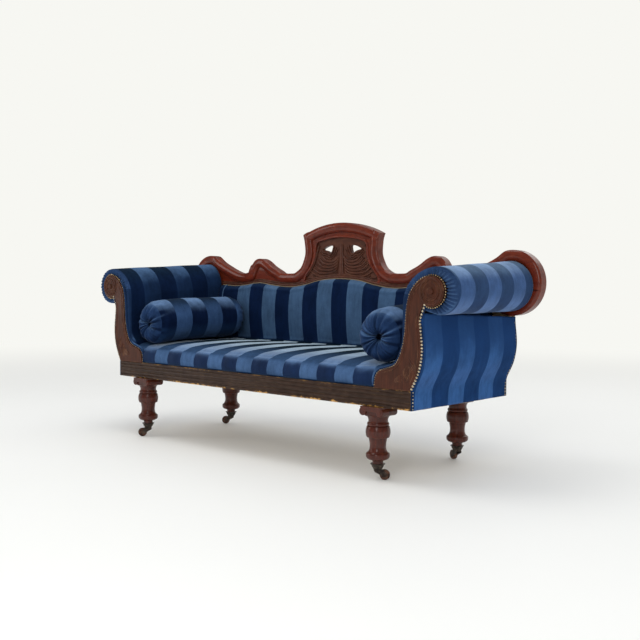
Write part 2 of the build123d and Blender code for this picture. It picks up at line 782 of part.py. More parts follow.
def leg():
    """Turned leg under a square cushion block, standing at the origin."""
    top = RAIL_BOTTOM
    tall = top - CUP_TOP
    drum = LEG_DRUM_DIA / 2
    bulb = LEG_BULB_DIA / 2
    waist = LEG_WAIST_DIA / 2
    ankle = ANKLE_DIA / 2
    block_h = 35.0

    def up(part):
        return CUP_TOP + tall * part

    neck = (ankle + 1, up(0.055))
    belly = (bulb, up(0.145))
    throat = (waist, up(0.315))
    step = (waist + 4, up(0.452))
    edges = [
        Line((0, CUP_FLOOR), (ankle, CUP_FLOOR)),
        Line((ankle, CUP_FLOOR), (ankle, up(0.04))),
        Line((ankle, up(0.04)), neck),
        Spline(neck, belly, tangents=[(1, 0.3), (0, 1)]),
        Spline(belly, (bulb - 3, up(0.19)), tangents=[(0, 1), (-1, 0.5)]),
        Spline((bulb - 3, up(0.19)), throat, step, tangents=[(-0.9, 0.5), (0.2, 1)]),
        Line(step, (drum - 4, up(0.462))),
        ThreePointArc((drum - 4, up(0.462)), (drum, up(0.557)), (drum - 4, up(0.65))),
        Line((drum - 4, up(0.65)), (drum - 9, up(0.655))),
        ThreePointArc((drum - 9, up(0.655)), (drum - 5, up(0.69)), (drum - 9, up(0.725))),
        ThreePointArc((drum - 9, up(0.725)), (drum - 9, up(0.78)), (drum - 1, top - block_h + 2)),
        Line((drum - 1, top - block_h + 2), (0, top - block_h + 2)),
        Line((0, top - block_h + 2), (0, CUP_FLOOR)),
    ]
    turned = revolve(Plane.XZ * make_face(edges), Axis.Z)
    plate = Pos(0, 0, top - block_h / 4) * Box(LEG_BLOCK, LEG_BLOCK, block_h / 2)
    cap = plate + Pos(0, 0, top - block_h / 2) * Box(LEG_BLOCK - 34, LEG_BLOCK - 16, block_h)
    for side in (-1, 1):
        at = Pos(side * (LEG_BLOCK / 2 - 8), 0, top - block_h / 2 - 1)
        roll = at * Rot(90, 0, 0) * Cylinder(ROLL_EAR, LEG_BLOCK - 4)
        cap += fillet(roll.edges(), 3)
        for face in (-1, 1):
            tip = at * Pos(0, face * (LEG_BLOCK / 2 - 2), 0) * Rot(90, 0, 0)
            cap += tip * Cylinder(ROLL_EAR / 3, 3)
    stand = (Align.CENTER, Align.CENTER, Align.MIN)
    pin = Pos(0, 0, top) * Cylinder(SPIGOT_DIA / 2, SPIGOT_LEN, align=stand)
    return turned + cap + pin


def castor_cup():
    """Flared socket that holds the ankle of a leg, bored for the stem."""
    floor_z = CUP_TOP - CUP_HEIGHT
    r = ANKLE_DIA / 2
    pts = [
        (STEM_DIA / 2 + RUN_GAP, floor_z),
        (r - 4, floor_z),
        (r + 2, CUP_FLOOR),
        (r + 3, CUP_TOP - 5),
        (r + 7, CUP_TOP - 2),
        (r + 7, CUP_TOP),
        (r + PRESS_GAP, CUP_TOP),
        (r + PRESS_GAP, CUP_FLOOR),
        (STEM_DIA / 2 + RUN_GAP, CUP_FLOOR),
        (STEM_DIA / 2 + RUN_GAP, floor_z),
    ]
    return revolve(Plane.XZ * make_face(Polyline(*pts)), Axis.Z)


def castor_fork():
    """Trailing horn with two cheeks, turning on its own stem."""
    top = CUP_TOP - CUP_HEIGHT - 0.2
    plate = 3.6
    inner = WHEEL_WIDTH / 2 + 0.9
    outer = inner + 4.0
    x = WHEEL_OFFSET
    z = WHEEL_RADIUS
    eye = 8.0
    pts = [
        (-13, top),
        (x * 0.5, top),
        (x + eye * 0.7, z + eye * 0.72),
        (x + eye, z),
        (x + eye * 0.7, z - eye * 0.7),
        (x, z - eye),
        (x - eye * 0.75, z - eye * 0.65),
        (-13, top - 9),
        (-13, top),
    ]
    side = upright(make_face(Polyline(*pts)), -outer, outer)
    gap = block(-30, x + 40, -inner, inner, -1, top - plate)
    fork = side - gap
    fork -= Pos(x, 0, z) * Rot(90, 0, 0) * Cylinder(WHEEL_RADIUS + 1.0, 2 * inner)
    stand = (Align.CENTER, Align.CENTER, Align.MIN)
    fork += Pos(0, 0, top - plate) * Cylinder(STEM_DIA / 2, plate + 10.0, align=stand)
    pin_hole = Cylinder(AXLE_DIA / 2 + PRESS_GAP, 4 * outer)
    return fork - Pos(x, 0, z) * Rot(90, 0, 0) * pin_hole


def castor_axle():
    """Riveted axle through both cheeks."""
    long = WHEEL_WIDTH + 2 * 0.9 + 8.0 + 2.0
    return Pos(WHEEL_OFFSET, 0, WHEEL_RADIUS) * Rot(90, 0, 0) * Cylinder(AXLE_DIA / 2, long)


def castor_wheel():
    """Plain roller with rounded rims."""
    roller = Cylinder(WHEEL_RADIUS, WHEEL_WIDTH)
    roller = fillet(roller.edges(), 2.5)
    for end in (-1, 1):
        dish = Cylinder(WHEEL_RADIUS - 6, 2.0)
        roller -= Pos(0, 0, end * WHEEL_WIDTH / 2) * dish
    roller += Cylinder(6.5, WHEEL_WIDTH)
    roller -= Cylinder(AXLE_DIA / 2 + RUN_GAP, 2 * WHEEL_WIDTH)
    return Pos(WHEEL_OFFSET, 0, WHEEL_RADIUS) * Rot(90, 0, 0) * roller


one_leg = leg()
one_cup = castor_cup()
one_fork = castor_fork()
one_axle = castor_axle()
one_wheel = castor_wheel()
corner_table = (
    ("front_left", -LEG_SPREAD, FRONT_LEG_Y, 245),
    ("front_right", LEG_SPREAD, FRONT_LEG_Y, 45),
    ("rear_left", -LEG_SPREAD, REAR_LEG_Y, 225),
    ("rear_right", LEG_SPREAD, REAR_LEG_Y, 155),
)
for name, x, y, turn in corner_table:
    at = Pos(x, y, 0)
    swung = at * Rot(0, 0, turn)
    save(name + "_leg", at * one_leg)
    save(name + "_castor_cup", at * one_cup)
    save(name + "_castor_fork", swung * one_fork)
    save(name + "_castor_axle", swung * one_axle)
    save(name + "_castor_wheel", swung * one_wheel)
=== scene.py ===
"""Dresses a scroll-ended sofa: striped velvet, carved mahogany, brass nails and castors."""

import json
import logging
import math
from dataclasses import dataclass
from enum import Enum
from typing import Sequence

import bpy
import numpy as np
from mathutils import Matrix, Vector

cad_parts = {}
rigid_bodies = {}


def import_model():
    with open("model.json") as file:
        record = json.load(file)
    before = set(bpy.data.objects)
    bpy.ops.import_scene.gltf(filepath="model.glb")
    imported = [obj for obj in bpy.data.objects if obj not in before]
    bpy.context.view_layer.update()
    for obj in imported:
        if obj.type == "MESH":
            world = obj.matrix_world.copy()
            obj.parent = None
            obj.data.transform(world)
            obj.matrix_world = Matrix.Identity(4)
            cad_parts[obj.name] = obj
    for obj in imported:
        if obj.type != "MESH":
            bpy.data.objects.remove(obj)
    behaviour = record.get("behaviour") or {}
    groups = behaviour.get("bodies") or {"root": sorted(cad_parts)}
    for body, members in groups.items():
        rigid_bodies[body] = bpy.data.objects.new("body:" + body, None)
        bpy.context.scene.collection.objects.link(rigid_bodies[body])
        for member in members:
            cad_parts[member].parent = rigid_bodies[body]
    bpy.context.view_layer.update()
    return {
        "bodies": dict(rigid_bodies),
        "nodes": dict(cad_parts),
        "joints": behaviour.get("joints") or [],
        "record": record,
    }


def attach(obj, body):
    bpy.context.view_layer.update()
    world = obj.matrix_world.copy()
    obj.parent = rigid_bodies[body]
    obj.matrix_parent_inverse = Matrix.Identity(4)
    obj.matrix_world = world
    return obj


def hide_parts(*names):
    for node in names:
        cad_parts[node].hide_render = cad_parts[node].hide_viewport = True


LOG = logging.getLogger("sofa")
Colour = tuple[float, float, float]
BODY = "sofa"

# Colour of the studio behind the sofa.
BACKDROP: Colour = (0.93, 0.93, 0.89)

# Sizes shared by several sub-assemblies, in metres.
FRONT = -0.314
REAR_POST = 0.323
RAIL_TOP = 0.340
RAIL_BOTTOM = 0.270
HALF = 0.845
DISC = (0.925, 0.688)
DISC_RADIUS = 0.053
ARM_END = 0.275
CREST_FRONT = 0.289


class Side(Enum):
    """Which end of the sofa a piece belongs to, as the sign of X."""

    LEFT = -1
    RIGHT = 1

    @property
    def word(self) -> str:
        """The name that pieces and nodes of this end start with."""
        return "left" if self is Side.LEFT else "right"


class Pile(Enum):
    """What covers a face, in the order of a piece's finishes."""

    CUT = 0
    FLAT = 1
    TURNED = 2
    DARK = 3


# Curves and meshes


def between(u: np.ndarray, low: float, high: float, a: np.ndarray, b: np.ndarray) -> np.ndarray:
    """Go evenly from one value to another as u runs from low to high."""
    return (high - u) / (high - low) * a + (u - low) / (high - low) * b


def smooth_path(points: Sequence[Sequence[float]], count: int) -> np.ndarray:
    """Run a smooth line through a few points and space it evenly.

    Args:
        points: Places the line passes through, in order.
        count: How many points to return.

    Returns:
        An array of evenly spaced points along the line.
    """
    p = np.asarray(points, float)
    p = np.vstack([2 * p[0] - p[1], p, 2 * p[-1] - p[-2]])
    t = np.concatenate([[0], np.cumsum(np.linalg.norm(np.diff(p, axis=0), axis=1) ** 0.5)])
    fine = []
    for i in range(1, len(p) - 2):
        u = np.linspace(t[i], t[i + 1], 24, endpoint=False)[:, None]
        a = [between(u, t[k], t[k + 1], p[k], p[k + 1]) for k in (i - 1, i, i + 1)]
        b = [between(u, t[k - 1], t[k + 1], a[k - i], a[k - i + 1]) for k in (i, i + 1)]
        fine.append(between(u, t[i], t[i + 1], *b))
    fine.append(p[-2:-1])
    return even_path(np.vstack(fine), count)


def from_mm(points: Sequence[Sequence[float]]) -> list[tuple[float, float]]:
    """Turn points in millimetres into metres."""
    return [(a / 1000, b / 1000) for a, b in points]


def even_path(line: np.ndarray, count: int) -> np.ndarray:
    """Space a fine line into a number of even steps.

    Args:
        line: Points along the line.
        count: How many points to return.

    Returns:
        Evenly spaced points.
    """
    run = np.concatenate([[0], np.cumsum(np.linalg.norm(np.diff(line, axis=0), axis=1))])
    at = np.linspace(0, run[-1], count)
    return np.stack([np.interp(at, run, line[:, k]) for k in range(line.shape[1])], axis=1)


def quarter(start: Sequence[float], end: Sequence[float], up_first: bool, count: int) -> np.ndarray:
    """A quarter of an ellipse between two points.

    Args:
        start: First point.
        end: Last point.
        up_first: Whether it leaves along the second axis.
        count: Number of points, without the last one.

    Returns:
        Points of the arc.
    """
    a, b = np.asarray(start, float), np.asarray(end, float)
    t = np.linspace(0, math.pi / 2, count, endpoint=False)
    near, far = 1 - np.cos(t), np.sin(t)
    first, second = (near, far) if up_first else (far, near)
    return np.stack([a[0] + (b[0] - a[0]) * first, a[1] + (b[1] - a[1]) * second], axis=1)


def ring(centre: Sequence[float], radius: float, start: float, end: float, count: int) -> np.ndarray:
    """An arc of a circle, angles in degrees.

    Args:
        centre: Middle of the circle.
        radius: Its radius.
        start: First angle.
        end: Last angle.
        count: Number of points.

    Returns:
        Points of the arc.
    """
    a = np.radians(np.linspace(start, end, count))
    return np.stack([centre[0] + radius * np.cos(a), centre[1] + radius * np.sin(a)], axis=1)


def make_mesh(
    name: str, verts: np.ndarray, faces: list, marks: Sequence[int] | None = None
) -> bpy.types.Object:
    """Make a smooth-shaded mesh object.

    Args:
        name: Name of the piece.
        verts: Its points.
        faces: Its faces, as lists of point numbers.
        marks: Material number of each face.

    Returns:
        The new object, linked to the scene.
    """
    mesh = bpy.data.meshes.new(name)
    mesh.from_pydata([tuple(v) for v in verts], [], [tuple(f) for f in faces])
    mesh.polygons.foreach_set("use_smooth", [True] * len(mesh.polygons))
    if marks is not None:
        mesh.polygons.foreach_set("material_index", list(marks))
    mesh.update()
    piece = bpy.data.objects.new(name, mesh)
    bpy.context.scene.collection.objects.link(piece)
    return piece


def grid_faces(rows: int, cols: int, wrap: bool, start: int = 0) -> list[list[int]]:
    """Faces of a grid of points.

    Args:
        rows: Number of rows.
        cols: Points in each row.
        wrap: Whether each row closes on itself.
        start: Number of the first point.

    Returns:
        Four-sided faces, row by row.
    """
    faces = []
    for i in range(rows - 1):
        for j in range(cols if wrap else cols - 1):
            k = (j + 1) % cols
            a, b = start + i * cols, start + (i + 1) * cols
            faces.append([a + j, a + k, b + k, b + j])
    return faces


def closed_faces(rows: int, cols: int) -> list[list[int]]:
    """Faces of a grid whose rows close on themselves, capped at both ends."""
    last = (rows - 1) * cols
    caps = [list(range(cols))[::-1], list(range(last, last + cols))]
    return grid_faces(rows, cols, True) + caps


def tube(
    path: np.ndarray, radius: np.ndarray, sides: int = 10, flat: float = 1.0
) -> tuple[np.ndarray, list]:
    """A round rod along a line, closed at both ends.

    Args:
        path: Points of its middle line.
        radius: Radius at each point, or one for all.
        sides: Sides of the section.
        flat: Depth of the section as a share of its width, across the front.

    Returns:
        Points and faces.
    """
    path = np.asarray(path, float)
    radius = np.broadcast_to(np.asarray(radius, float), (len(path),))
    run = np.gradient(path, axis=0)
    run /= np.linalg.norm(run, axis=1)[:, None] + 1e-12
    out = np.array([0.0, -1.0, 0.0])
    if np.abs(run @ out).max() > 0.95:
        out = np.array([0.31, 0.0, 0.95])
    side = np.cross(run, out)
    side /= np.linalg.norm(side, axis=1)[:, None]
    lift = np.cross(side, run)
    a = np.linspace(0, 2 * math.pi, sides, endpoint=False)
    rings = path[:, None, :] + radius[:, None, None] * (
        np.cos(a)[None, :, None] * side[:, None, :] + flat * np.sin(a)[None, :, None] * lift[:, None, :]
    )
    return rings.reshape(-1, 3), closed_faces(len(path), sides)


def joined(parts: list[tuple[np.ndarray, list]]) -> tuple[np.ndarray, list]:
    """Put several meshes together.

    Args:
        parts: Points and faces of each.

    Returns:
        Points and faces of all.
    """
    verts, faces, base = [], [], 0
    for v, f in parts:
        verts.append(v)
        faces += [[base + k for k in face] for face in f]
        base += len(v)
    return np.vstack(verts), faces


def standing(outline: np.ndarray, y: float, side: Side = Side.RIGHT) -> np.ndarray:
    """Stand a line drawn in X and Z up at one depth.

    Args:
        outline: Points in X and Z.
        y: Depth of the plane.
        side: Which end of the sofa it is for.

    Returns:
        Points in space.
    """
    return np.stack([side.value * outline[:, 0], np.full(len(outline), y), outline[:, 1]], axis=1)


def soft_noise(p: np.ndarray, size: float, seed: float) -> np.ndarray:
    """A slow, steady unevenness for stuffed surfaces, from -1 to 1.

    Args:
        p: Points.
        size: Length of its waves, in metres.
        seed: Shifts the pattern.

    Returns:
        One value for each point.
    """
    k = 2 * math.pi / size
    a = np.sin(k * p[..., 0] + 1.7 * seed) * np.cos(0.83 * k * p[..., 2] + seed)
    b = np.sin(0.71 * k * p[..., 1] - 0.4 * seed) * np.cos(0.57 * k * p[..., 0] + 2.1 * seed)
    return 0.5 * (a + b)


# Finishes


class Graph:
    """Adds and wires nodes in one shader tree."""

    def __init__(self, tree: bpy.types.NodeTree) -> None:
        """Keep the tree that nodes go into."""
        self.tree = tree

    def add(self, kind: str, values: dict | None = None, **settings: object) -> bpy.types.Node:
        """Add a node.

        Args:
            kind: Blender's name of the node.
            values: Socket values, or sockets to link, by input name or number.
            settings: Properties of the node.

        Returns:
            The node.
        """
        node = self.tree.nodes.new(kind)
        for key, value in settings.items():
            setattr(node, key, value)
        self.fill(node, values or {})
        return node

    def fill(self, node: bpy.types.Node, values: dict) -> None:
        """Set or link several inputs of a node, by name or number."""
        for key, value in values.items():
            self.put(node.inputs[key], value)

    def put(self, socket: bpy.types.NodeSocket, value: object) -> None:
        """Set a socket's value, or link another socket to it."""
        if isinstance(value, bpy.types.NodeSocket):
            self.tree.links.new(value, socket)
        elif socket.type == "RGBA" and len(value) == 3:
            socket.default_value = (*value, 1.0)
        else:
            socket.default_value = value

    def math(self, operation: str, a: object, b: object = 0.0) -> bpy.types.NodeSocket:
        """One sum; returns its value."""
        return self.add("ShaderNodeMath", {0: a, 1: b}, operation=operation).outputs[0]

    def mix(self, share: object, a: object, b: object, blend: str = "MIX") -> bpy.types.NodeSocket:
        """Mix two colours; returns the mixed one."""
        values = {0: share, 6: a, 7: b}
        return self.add("ShaderNodeMix", values, data_type="RGBA", blend_type=blend).outputs[2]

    def noise(
        self, vector: object, scale: float, detail: float = 3.0, rough: float = 0.55
    ) -> bpy.types.NodeSocket:
        """Cloudy noise; returns its value."""
        values = {"Vector": vector, "Scale": scale, "Detail": detail, "Roughness": rough}
        return self.add("ShaderNodeTexNoise", values).outputs["Fac"]

    def ease(
        self, value: object, low: float, high: float, first: float = 0.0, last: float = 1.0
    ) -> bpy.types.NodeSocket:
        """Smooth step of a value between two limits; returns the result."""
        values = dict(enumerate((value, low, high, first, last)))
        node = self.add("ShaderNodeMapRange", values, interpolation_type="SMOOTHSTEP")
        return node.outputs[0]

    def swing(self, value: object, size: float) -> bpy.types.NodeSocket:
        """How far a value lies from one half, scaled; returns the result."""
        return self.math("MULTIPLY", self.math("SUBTRACT", value, 0.5), size)

    def axis(self, vector: object, number: int) -> bpy.types.NodeSocket:
        """One part of a vector: 0, 1 or 2 for X, Y or Z."""
        return self.add("ShaderNodeSeparateXYZ", {0: vector}).outputs[number]

    def spread(self, vector: object, scale: Sequence[float]) -> bpy.types.NodeSocket:
        """Stretch coordinates; returns them."""
        return self.add("ShaderNodeMapping", {"Vector": vector, "Scale": scale}).outputs[0]

    def place(self) -> bpy.types.NodeSocket:
        """The object's own coordinates."""
        return self.add("ShaderNodeTexCoord").outputs["Object"]


def new_group(
    name: str, inputs: dict[str, str], outputs: dict[str, str]
) -> tuple[Graph, bpy.types.Node, bpy.types.Node]:
    """Start a shader node group.

    Args:
        name: Name of the group.
        inputs: Kind of each input, by name.
        outputs: Kind of each output, by name.

    Returns:
        The graph, and the nodes that hold its inputs and outputs.
    """
    tree = bpy.data.node_groups.new(name, "ShaderNodeTree")
    for label, kind in inputs.items():
        tree.interface.new_socket(label, in_out="INPUT", socket_type="NodeSocket" + kind)
    for label, kind in outputs.items():
        tree.interface.new_socket(label, in_out="OUTPUT", socket_type="NodeSocket" + kind)
    graph = Graph(tree)
    return graph, graph.add("NodeGroupInput"), graph.add("NodeGroupOutput")


class Effects:
    """The shader effects that several finishes share."""

    def __init__(self) -> None:
        """Build each group once."""
        self.pile_and_painted_light = self.make_pile_and_painted_light()
        self.grain = self.make_grain()
        self.wear = self.make_wear()
        self.tarnish = self.make_tarnish()
        self.weave = self.make_weave()

    @staticmethod
    def make_pile_and_painted_light() -> bpy.types.NodeTree:
        """Velvet with painted light, shade and sheen by facing and depth, and brushed marks."""
        inputs = dict.fromkeys(("Face", "Top", "Far", "Under"), "Color")
        inputs.update({"Near Y": "Float", "Far Y": "Float"})
        g, come, out = new_group("velvet_pile_and_painted_light", inputs, {"Color": "Color", "Height": "Float"})
        # Painted light and shade: top colour on faces turned up, under colour on faces turned down.
        normal = g.add("ShaderNodeNewGeometry").outputs["Normal"]
        up = g.axis(normal, 2)
        marks = g.noise(g.place(), 11.0, 5.0, 0.62)
        up = g.math("ADD", up, g.swing(marks, 0.35))
        # Painted grazing sheen: the top colour fades into the far colour from Near Y to Far Y.
        back = g.math("ADD", g.axis(g.place(), 1), g.swing(marks, 0.12))
        painted_sheen_share = g.ease(back, come.outputs["Near Y"], come.outputs["Far Y"])
        flat = g.mix(painted_sheen_share, come.outputs["Top"], come.outputs["Far"])
        colour = g.mix(g.ease(up, 0.35, 1.0), come.outputs["Face"], flat)
        colour = g.mix(g.ease(up, -0.1, -0.75), colour, come.outputs["Under"])
        fibre = g.noise(g.place(), 420.0, 2.0, 0.7)
        brushed = g.noise(g.spread(g.place(), (60.0, 60.0, 14.0)), 1.0, 3.0, 0.6)
        tone = g.math("ADD", g.math("MULTIPLY", fibre, 0.5), g.math("MULTIPLY", brushed, 0.5))
        tone = g.math("ADD", tone, g.math("MULTIPLY", marks, 0.7))
        shade = g.ease(tone, 0.45, 1.25, 0.6, 1.4)
        grey = g.add("ShaderNodeCombineColor", {0: shade, 1: shade, 2: shade}).outputs[0]
        colour = g.mix(1.0, colour, grey, "MULTIPLY")
        values = {"Vector": g.place(), "Scale": 130.0, "Distortion": 1.5}
        rows = g.add("ShaderNodeTexWave", values, bands_direction="Z")
        height = g.math("ADD", fibre, g.math("MULTIPLY", rows.outputs["Fac"], 0.25))
        g.fill(out, {"Color": colour, "Height": height})
        return g.tree

    @staticmethod
    def make_grain() -> bpy.types.NodeTree:
        """Long wood figure with pores, along whichever axis is stretched."""
        inputs = {"Vector": "Vector", "Light": "Color", "Dark": "Color"}
        outputs = {"Color": "Color", "Height": "Float", "Gloss": "Float"}
        g, come, out = new_group("wood_grain", inputs, outputs)
        vector = come.outputs["Vector"]
        broad = g.noise(vector, 1.6, 5.0, 0.6)
        values = {"Vector": vector, "Scale": 1.1, "Distortion": 9.0, "Detail": 3.0}
        bent = g.math("MULTIPLY", g.add("ShaderNodeTexWave", values).outputs["Fac"], 0.12)
        figure = g.math("ADD", g.math("MULTIPLY", broad, 0.88), bent)
        pores = g.noise(g.spread(vector, (3.0, 3.0, 3.0)), 6.0, 2.0, 0.8)
        colour = g.mix(g.ease(figure, 0.2, 0.85), come.outputs["Dark"], come.outputs["Light"])
        colour = g.mix(g.ease(pores, 0.56, 0.74, 0.0, 0.3), colour, come.outputs["Dark"])
        height = g.math("SUBTRACT", figure, g.math("MULTIPLY", pores, 0.6))
        gloss = g.math("MULTIPLY", figure, pores)
        g.fill(out, {"Color": colour, "Height": height, "Gloss": gloss})
        return g.tree

    @staticmethod
    def make_wear() -> bpy.types.NodeTree:
        """Rubbed edges and grime, from how sharply the surface turns."""
        inputs = {"Color": "Color", "Worn": "Color", "Grime": "Color"}
        inputs.update({"Amount": "Float", "Radius": "Float"})
        g, come, out = new_group("edge_wear", inputs, {"Color": "Color", "Mask": "Float"})
        normal = g.add("ShaderNodeNewGeometry").outputs["Normal"]
        soft = g.add("ShaderNodeBevel", {"Radius": come.outputs["Radius"]}, samples=4)
        sides = {0: normal, 1: soft.outputs[0]}
        turn = g.add("ShaderNodeVectorMath", sides, operation="DOT_PRODUCT")
        edge = g.ease(turn.outputs["Value"], 0.995, 0.9)
        patch = g.ease(g.noise(g.place(), 24.0, 5.0, 0.7), 0.42, 0.66)
        mask = g.math("MULTIPLY", g.math("MULTIPLY", edge, patch), come.outputs["Amount"])
        dirt = g.ease(g.noise(g.place(), 11.0, 6.0, 0.65), 0.5, 0.78, 0.0, 0.5)
        colour = g.mix(dirt, come.outputs["Color"], come.outputs["Grime"])
        g.fill(out, {"Color": g.mix(mask, colour, come.outputs["Worn"]), "Mask": mask})
        return g.tree

    @staticmethod
    def make_tarnish() -> bpy.types.NodeTree:
        """Old metal, darkened in patches."""
        inputs = {"Metal": "Color", "Dark": "Color", "Scale": "Float"}
        outputs = {"Color": "Color", "Roughness": "Float", "Height": "Float"}
        g, come, out = new_group("tarnish", inputs, outputs)
        cloud = g.noise(g.place(), come.outputs["Scale"], 6.0, 0.68)
        spot = g.ease(cloud, 0.36, 0.64)
        colour = g.mix(spot, come.outputs["Metal"], come.outputs["Dark"])
        rough = g.ease(cloud, 0.3, 0.7, 0.3, 0.62)
        g.fill(out, {"Color": colour, "Roughness": rough, "Height": cloud})
        return g.tree

    @staticmethod
    def make_weave() -> bpy.types.NodeTree:
        """Plain open weave for webbing and hessian."""
        inputs = {"Thread": "Color", "Gap": "Color", "Pitch": "Float"}
        g, come, out = new_group("plain_weave", inputs, {"Color": "Color", "Height": "Float"})
        waves = []
        for number in (0, 1):
            turn = g.math("DIVIDE", g.axis(g.place(), number), come.outputs["Pitch"])
            waves.append(g.math("SINE", g.math("MULTIPLY", turn, 2 * math.pi)))
        over = g.math("MULTIPLY", waves[0], waves[1])
        fuzz = g.noise(g.place(), 300.0, 3.0, 0.7)
        level = g.ease(g.math("ADD", over, g.math("MULTIPLY", fuzz, 0.8)), -0.6, 1.1)
        colour = g.mix(level, come.outputs["Gap"], come.outputs["Thread"])
        g.fill(out, {"Color": colour, "Height": level})
        return g.tree


@dataclass(frozen=True)
class Finish:
    """A material whose colours come from one shared effect."""

    name: str
    roughness: float = 0.5

    def start(self) -> tuple[Graph, bpy.types.Node, bpy.types.Material]:
        """Make an empty material with its shader.

        Returns:
            The graph, the shader node and the material.
        """
        material = bpy.data.materials.new(self.name)
        material.use_nodes = True
        graph = Graph(material.node_tree)
        shader = material.node_tree.nodes["Principled BSDF"]
        shader.inputs["Roughness"].default_value = self.roughness
        return graph, shader, material

    @staticmethod
    def bump(g: Graph, shader: bpy.types.Node, height: object, strength: float, depth: float) -> None:
        """Feed a height to the shader's normal.

        Args:
            g: The material's graph.
            shader: Its shader.
            height: Socket with the height.
            strength: Strength of the bump.
            depth: Depth in metres.
        """
        node = g.add("ShaderNodeBump", {"Height": height, "Strength": strength, "Distance": depth})
        g.put(shader.inputs["Normal"], node.outputs[0])


@dataclass(frozen=True)
class Velvet(Finish):
    """One weave of the striped velvet."""

    face: Colour = (0.05, 0.1, 0.25)
    # top and under are painted light and shade on faces turned up and down.
    top: Colour = (0.05, 0.1, 0.25)
    under: Colour = (0.01, 0.03, 0.08)
    # far is a painted grazing sheen, faded in along Y over the lie span.
    far: Colour | None = None
    lie: tuple[float, float] = (-0.29, 0.12)
    sheen: float = 0.3
    sheen_tint: Colour = (0.6, 0.75, 0.9)
    roughness: float = 0.9
    # brushed: dark blue both stripes fade into high up the side, painted shade as cast by the roll.
    brushed: Colour | None = None

    def build(self, fx: Effects) -> bpy.types.Material:
        """Make the material."""
        g, shader, material = self.start()
        values = {"Face": self.face, "Top": self.top, "Far": self.far or self.top}
        values.update({"Under": self.under, "Near Y": self.lie[0], "Far Y": self.lie[1]})
        pile_and_painted_light = g.add("ShaderNodeGroup", values, node_tree=fx.pile_and_painted_light)
        colour = pile_and_painted_light.outputs["Color"]
        # Painted shade high up the side, where the cloth has a brushed colour.
        if self.brushed:
            colour = self.painted_high_shade(g, colour)
        looks = {"Base Color": colour, "Sheen Weight": self.sheen, "Sheen Roughness": 0.35}
        looks.update({"Sheen Tint": self.sheen_tint, "Specular IOR Level": 0.03})
        g.fill(shader, looks)
        self.bump(g, shader, pile_and_painted_light.outputs["Height"], 0.35, 0.0008)
        return material

    def painted_high_shade(self, g: Graph, colour: object) -> bpy.types.NodeSocket:
        """Painted shade high up the side, as cast by the roll: both stripes fade, along a ragged edge,
        into one dark blue.
        """
        ragged = g.swing(g.noise(g.place(), 9.0, 4.0, 0.65), 0.2)
        share = g.ease(g.math("ADD", g.axis(g.place(), 2), ragged), 0.39, 0.54)
        return g.mix(g.math("MULTIPLY", share, 0.8), colour, self.brushed)


@dataclass(frozen=True)
class Wood(Finish):
    """Polished show wood or plain frame timber."""

    light: Colour = (0.3, 0.1, 0.06)
    dark: Colour = (0.1, 0.03, 0.02)
    worn: Colour = (0.4, 0.2, 0.1)
    grime: Colour = (0.03, 0.015, 0.01)
    stretch: tuple[float, float, float] = (6.0, 45.0, 45.0)
    wear: float = 0.5
    polish: float = 0.4
    chips: bool = False

    def build(self, fx: Effects) -> bpy.types.Material:
        """Make the material."""
        g, shader, material = self.start()
        place = g.spread(g.place(), self.stretch)
        values = {"Vector": place, "Light": self.light, "Dark": self.dark}
        grain = g.add("ShaderNodeGroup", values, node_tree=fx.grain)
        values = {"Color": grain.outputs["Color"], "Worn": self.worn, "Grime": self.grime}
        values.update({"Amount": self.wear, "Radius": 0.004})
        wear = g.add("ShaderNodeGroup", values, node_tree=fx.wear)
        colour = wear.outputs["Color"]
        if self.chips:
            colour = self.chipped(g, colour)
        low, high = self.roughness - 0.1, self.roughness + 0.16
        rough = g.ease(grain.outputs["Gloss"], 0.05, 0.5, high, low)
        rough = g.math("ADD", rough, g.math("MULTIPLY", wear.outputs["Mask"], 0.3))
        looks = {"Base Color": colour, "Roughness": rough, "Coat Weight": self.polish}
        looks.update({"Coat Roughness": 0.1, "Specular IOR Level": 0.1})
        g.fill(shader, looks)
        self.bump(g, shader, grain.outputs["Height"], 0.12, 0.0005)
        return material

    @staticmethod
    def chipped(g: Graph, colour: object) -> bpy.types.NodeSocket:
        """Golden chips where the polish has broken off along the foot of the rail."""
        ragged = g.swing(g.noise(g.place(), 60.0, 6.0, 0.7), 0.03)
        level = g.math("ADD", g.axis(g.place(), 2), ragged)
        foot = g.ease(level, RAIL_BOTTOM + 0.006, RAIL_BOTTOM + 0.001)
        rim = g.math("MULTIPLY", g.ease(level, RAIL_TOP - 0.004, RAIL_TOP), 0.25)
        patch = g.ease(g.noise(g.place(), 23.0, 3.0, 0.6), 0.45, 0.58)
        chip = g.math("MULTIPLY", g.math("MAXIMUM", foot, rim), patch)
        return g.mix(chip, colour, (0.62, 0.33, 0.09))


@dataclass(frozen=True)
class Metal(Finish):
    """Old brass, iron or wire."""

    metal: Colour = (0.5, 0.35, 0.15)
    dark: Colour = (0.12, 0.08, 0.04)
    scale: float = 60.0
    metallic: float = 1.0

    def build(self, fx: Effects) -> bpy.types.Material:
        """Make the material."""
        g, shader, material = self.start()
        values = {"Metal": self.metal, "Dark": self.dark, "Scale": self.scale}
        old = g.add("ShaderNodeGroup", values, node_tree=fx.tarnish)
        looks = {"Base Color": old.outputs["Color"], "Roughness": old.outputs["Roughness"]}
        g.fill(shader, {**looks, "Metallic": self.metallic})
        self.bump(g, shader, old.outputs["Height"], 0.2, 0.0004)
        return material


